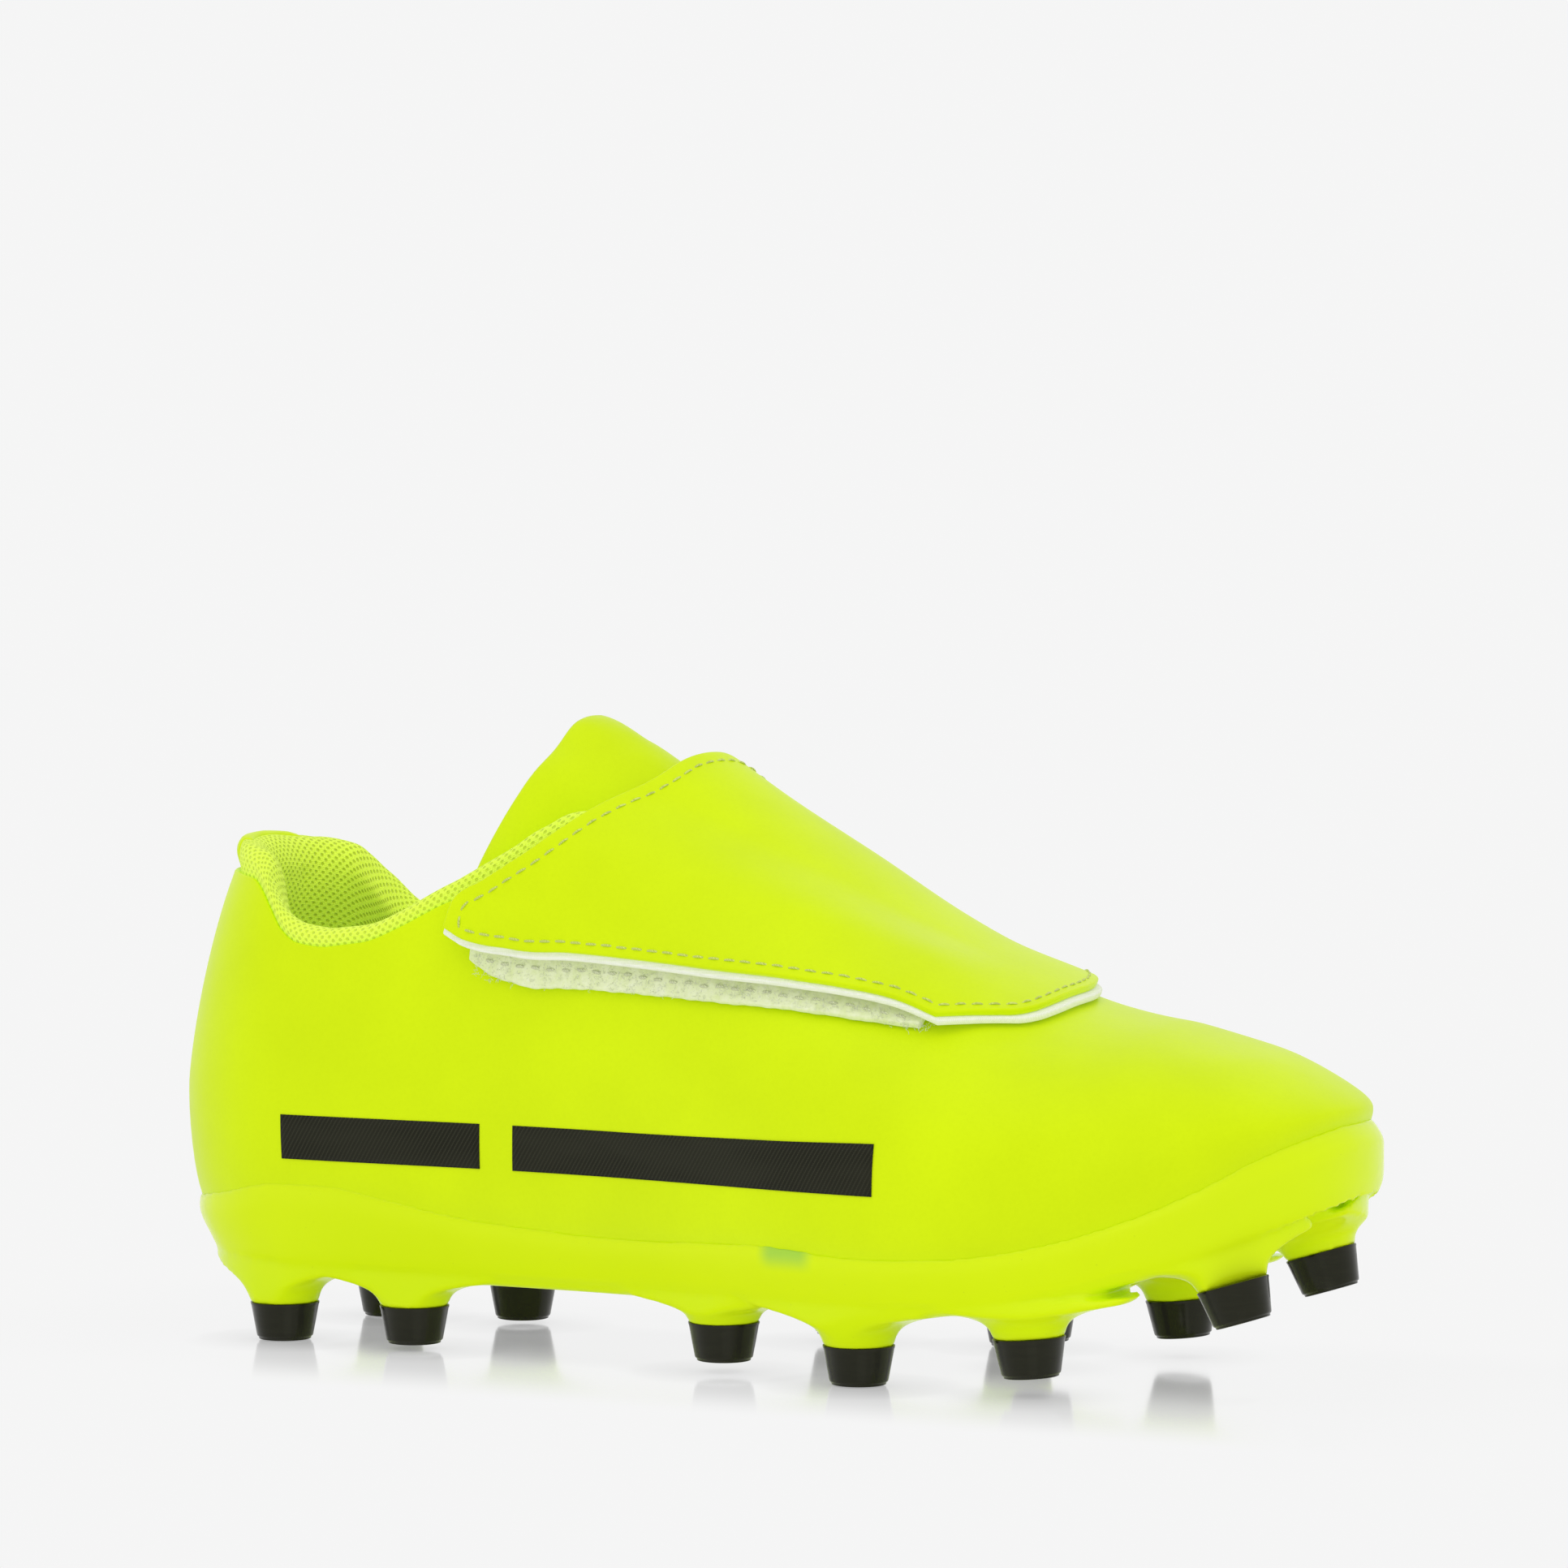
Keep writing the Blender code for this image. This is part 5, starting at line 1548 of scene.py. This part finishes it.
def strap_stitch_samples():
    path = strap_inset_path(rear=2.5, low=1.55, front=1.5)
    samples = []
    for share in np.linspace(0, 1, 400):
        k = share * (len(path) - 1)
        i = min(int(k), len(path) - 2)
        x, psi = path[i] * (1 - (k - i)) + path[i + 1] * (k - i)
        samples.append(point_and_normal(strap_top, x, psi, 0.5))
    return samples


def patch_surface(x, psi):
    return surface(x, psi, 1.5)


strap_stitches = stitch_line("strap_stitches", strap_stitch_samples(), pitch=2.65, length=2.05,
                             radius=0.15, material=MATERIALS['thread'], jitter=0.12)
blend_strap(strap_stitches)

patch_samples = [point_and_normal(patch_surface, 66 + 73 * t, strap_low(66 + 73 * t) - 1.0)
                 for t in np.linspace(0, 1, 120)]
patch_stitches = stitch_line("loop_patch_stitches", patch_samples, pitch=2.7, length=1.7,
                             radius=0.22, material=MATERIALS['pale_thread'], jitter=0.35)
attach(patch_stitches, "boot", "loop_pile")

# ============================================================ pile fibres
FIBRES_PER_ROOT, FIBRE_RINGS = 3, 6
FIBRE_LENGTH, FIBRE_RADIUS = 0.62, 0.028


def fibre_roots():
    """roots and leanings along the patch's lower border, then pulled loops at its front end"""
    rng = np.random.RandomState(5)
    roots = []
    for _ in range(520):
        x = 65 + 75 * rng.rand()
        psi = strap_low(x) - 3.4 + 3.6 * rng.rand()
        point, normal = point_and_normal(patch_surface, x, psi)
        roots.append((point, normal * 0.5 + np.array([0, -0.2, -0.55])))
    for _ in range(26):
        x = 138 + 4.5 * rng.rand()
        psi = strap_low(x) - 3.0 + 2.5 * rng.rand()
        roots.append((surface(x, psi, 1.4), np.array([0.35, -0.5, -0.7])))
    return roots


def build_fibres():
    """curled three-sided fibres in random directions about each root's leaning"""
    rng = np.random.RandomState(3)
    points, faces = [], []
    for root, leaning in fibre_roots():
        for _ in range(FIBRES_PER_ROOT):
            ahead = leaning + rng.randn(3) * 0.75
            ahead /= norm(ahead)
            side = np.cross(ahead, rng.randn(3))
            side /= norm(side) + 1e-9
            up = np.cross(side, ahead)
            length = FIBRE_LENGTH * (0.4 + 0.9 * rng.rand())
            bend = 1.2 + rng.rand() * 1.6
            start = root + rng.randn(3) * 0.25
            base = len(points)
            for k in range(FIBRE_RINGS):
                turn = k / (FIBRE_RINGS - 1) * bend
                centre = (start + ahead * length * sin(turn) / bend * 1.6
                          + side * length * (1 - cos(turn)) * 0.35)
                for angle in (0, 2.094, 4.188):     # thirds of a turn
                    points.append(centre + (side * cos(angle) + up * sin(angle)) * FIBRE_RADIUS)
            faces += tube_faces(FIBRE_RINGS, 3, base) + tube_caps(FIBRE_RINGS, 3, base)
    ob = new_mesh("loop_pile_fibres", points, faces, MATERIALS['fibre'])
    attach(ob, "boot", "loop_pile")


build_fibres()

# ============================================================ printed bands
BAND_Z = (30.0, 37.0)
BANDS = [("band_heel", 30.0, 66.0), ("band_side", 72.0, 138.0)]     # name, x from, x to
FILM_STEP = 1.6
FILM_OFFSET, FILM_T = 0.10, 0.12


def band_outline(start, end):
    count = int((end - start) / 8.0)
    xs = [start + (end - start) * i / count for i in range(count + 1)]
    return [(x, BAND_Z[0]) for x in xs] + [(x, BAND_Z[1]) for x in reversed(xs)]


def is_inside(spot, border):
    inside = False
    for i in range(len(border)):
        a, b = border[i], border[i - 1]
        if ((a[1] > spot[1]) != (b[1] > spot[1])
                and spot[0] < (b[0] - a[0]) * (spot[1] - a[1]) / (b[1] - a[1]) + a[0]):
            inside = not inside
    return inside


def printed_film(name, polygon, side):
    """thin film: an (x, height) polygon filled with a fine grid and laid on the upper"""
    border = []
    for i in range(len(polygon)):
        a = np.array(polygon[i], float)
        b = np.array(polygon[(i + 1) % len(polygon)], float)
        count = max(1, int(norm(b - a) / FILM_STEP))
        border += [tuple(a + (b - a) * j / count) for j in range(count)]
    spots = [Vector(p) for p in border]
    count = len(border)
    border = np.array(border)
    low, high = border.min(0), border.max(0)
    for x in np.arange(low[0] + FILM_STEP * 0.5, high[0], FILM_STEP):
        for z in np.arange(low[1] + FILM_STEP * 0.5, high[1], FILM_STEP):
            clearance = np.min(norm(border - np.array([x, z]), axis=1))
            if is_inside((x, z), border) and clearance > FILM_STEP * 0.45:
                spots.append(Vector((x, z)))
    edges = [(i, (i + 1) % count) for i in range(count)]
    flat, _, faces, *_ = delaunay_2d_cdt(spots, edges, [list(range(count))], 1, 1e-5)
    points = [side_surface(v.x, v.y, FILM_OFFSET, side) for v in flat]
    ob = new_mesh(name, points, [tuple(f) for f in faces], MATERIALS['twill'],
                  [(v.x, v.y) for v in flat])
    align_normals(ob, spine_point)
    solidify(ob, FILM_T)
    attach(ob, "boot", "pu_upper")


for band_side, suffix in ((-1, "lat"), (1, "med")):
    for band_name, band_start, band_end in BANDS:
        printed_film("print_" + band_name + "_" + suffix, band_outline(band_start, band_end),
                     band_side)

# ============================================================ hidden CAD pieces that stay
for node_name, key in (("heel_counter", 'counter'), ("toe_puff", 'counter'),
                       ("insole_board", 'board')):
    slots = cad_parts[node_name].data.materials
    slots.clear()
    slots.append(MATERIALS[key])

# ============================================================ stage, light, camera
PALE = (0.915, 0.915, 0.915)


def stage_material():
    """even pale floor with contact shade, faintly mirror-like under the boot"""
    s = Shader("stage_pale")
    x, y, _ = s.split(s.node("ShaderNodeNewGeometry").outputs["Position"])
    # limits of the mirror patch, in metres
    front = s.times(s.remap(y, (-0.062, -0.030), soft=True),
                    s.remap(y, (-0.035, 0.0), (0.45, 1.0), soft=True))
    back = s.remap(y, (0.03, 0.06), (1.0, 0.0), soft=True)
    ends = s.times(s.remap(x, (-0.15, -0.09), soft=True),
                   s.remap(x, (0.09, 0.15), (1.0, 0.0), soft=True))
    mirror = s.times(s.times(front, back), s.times(ends, 0.60))
    occlusion = s.node("ShaderNodeAmbientOcclusion", samples=12)
    s.feed(occlusion.inputs["Distance"], 0.012)
    emission = s.node("ShaderNodeEmission")
    s.feed(emission.inputs["Color"], PALE)
    s.feed(emission.inputs["Strength"],
           s.remap(occlusion.outputs["AO"], source=(0.0, 1.0), target=(0.55, 1.0)))
    glossy = s.node("ShaderNodeBsdfGlossy")
    s.feed(glossy.inputs["Roughness"], 0.11)
    s.feed(glossy.inputs["Color"], (0.97, 0.97, 0.97))
    blend = s.node("ShaderNodeMixShader")
    for i, value in enumerate((mirror, emission.outputs[0], glossy.outputs[0])):
        s.feed(blend.inputs[i], value)
    s.feed(s.tree.nodes["Material Output"].inputs["Surface"], blend.outputs[0])
    return s.material


def build_floor():
    mesh = bpy.data.meshes.new("floor")
    bm = bmesh.new()
    bmesh.ops.create_grid(bm, x_segments=8, y_segments=8, size=6.0)
    bm.to_mesh(mesh)
    bm.free()
    floor = link_object("floor", mesh)
    mesh.materials.append(stage_material())
    floor.location = (0, 0, -0.0002)


def build_world():
    """pale surround, a little weaker for diffuse rays"""
    world = bpy.data.worlds.new("studio")
    bpy.context.scene.world = world
    world.use_nodes = True
    tree = world.node_tree
    background = tree.nodes["Background"]
    light_path = tree.nodes.new("ShaderNodeLightPath")
    strength = tree.nodes.new("ShaderNodeMapRange")
    tree.links.new(light_path.outputs["Is Diffuse Ray"], strength.inputs["Value"])
    strength.inputs["To Min"].default_value = 1.0
    strength.inputs["To Max"].default_value = 0.86
    tree.links.new(strength.outputs[0], background.inputs["Strength"])
    background.inputs["Color"].default_value = (*PALE, 1)


def area_light(name, place, target, size, power):
    light = bpy.data.lights.new(name, 'AREA')
    light.shape = 'RECTANGLE'
    light.size, light.size_y = size
    light.energy = power
    ob = link_object(name, light)
    ob.location = place
    ob.rotation_euler = (Vector(target) - Vector(place)).to_track_quat('-Z', 'Y').to_euler()


def build_camera(place, yaw, pitch, lens):
    """yaw turns the view left of +y and pitch tips it down, both in radians"""
    data = bpy.data.cameras.new("camera")
    data.sensor_width = 36.0
    data.lens = lens
    data.clip_start = 0.05
    data.clip_end = 50
    ob = link_object("camera", data)
    ob.location = to_scene(place)
    view = Vector((-sin(yaw) * cos(pitch), cos(yaw) * cos(pitch), -sin(pitch)))
    ob.rotation_euler = view.to_track_quat('-Z', 'Y').to_euler()
    bpy.context.scene.camera = ob


build_floor()
build_world()
area_light("key_top", place=(0.05, -0.35, 0.75), target=(0, 0, 0.03), size=(0.9, 0.6), power=1.0)
area_light("front_soft", place=(0.55, -0.75, 0.35), target=(0.03, 0, 0.03), size=(0.5, 0.6),
           power=0.6)
build_camera(place=(507.23, -831.94, 124.45), yaw=radians(25.789), pitch=radians(2.163),
             lens=135.79714)
bpy.context.scene.view_settings.view_transform = 'Standard'
bpy.context.scene.view_settings.look = 'None'
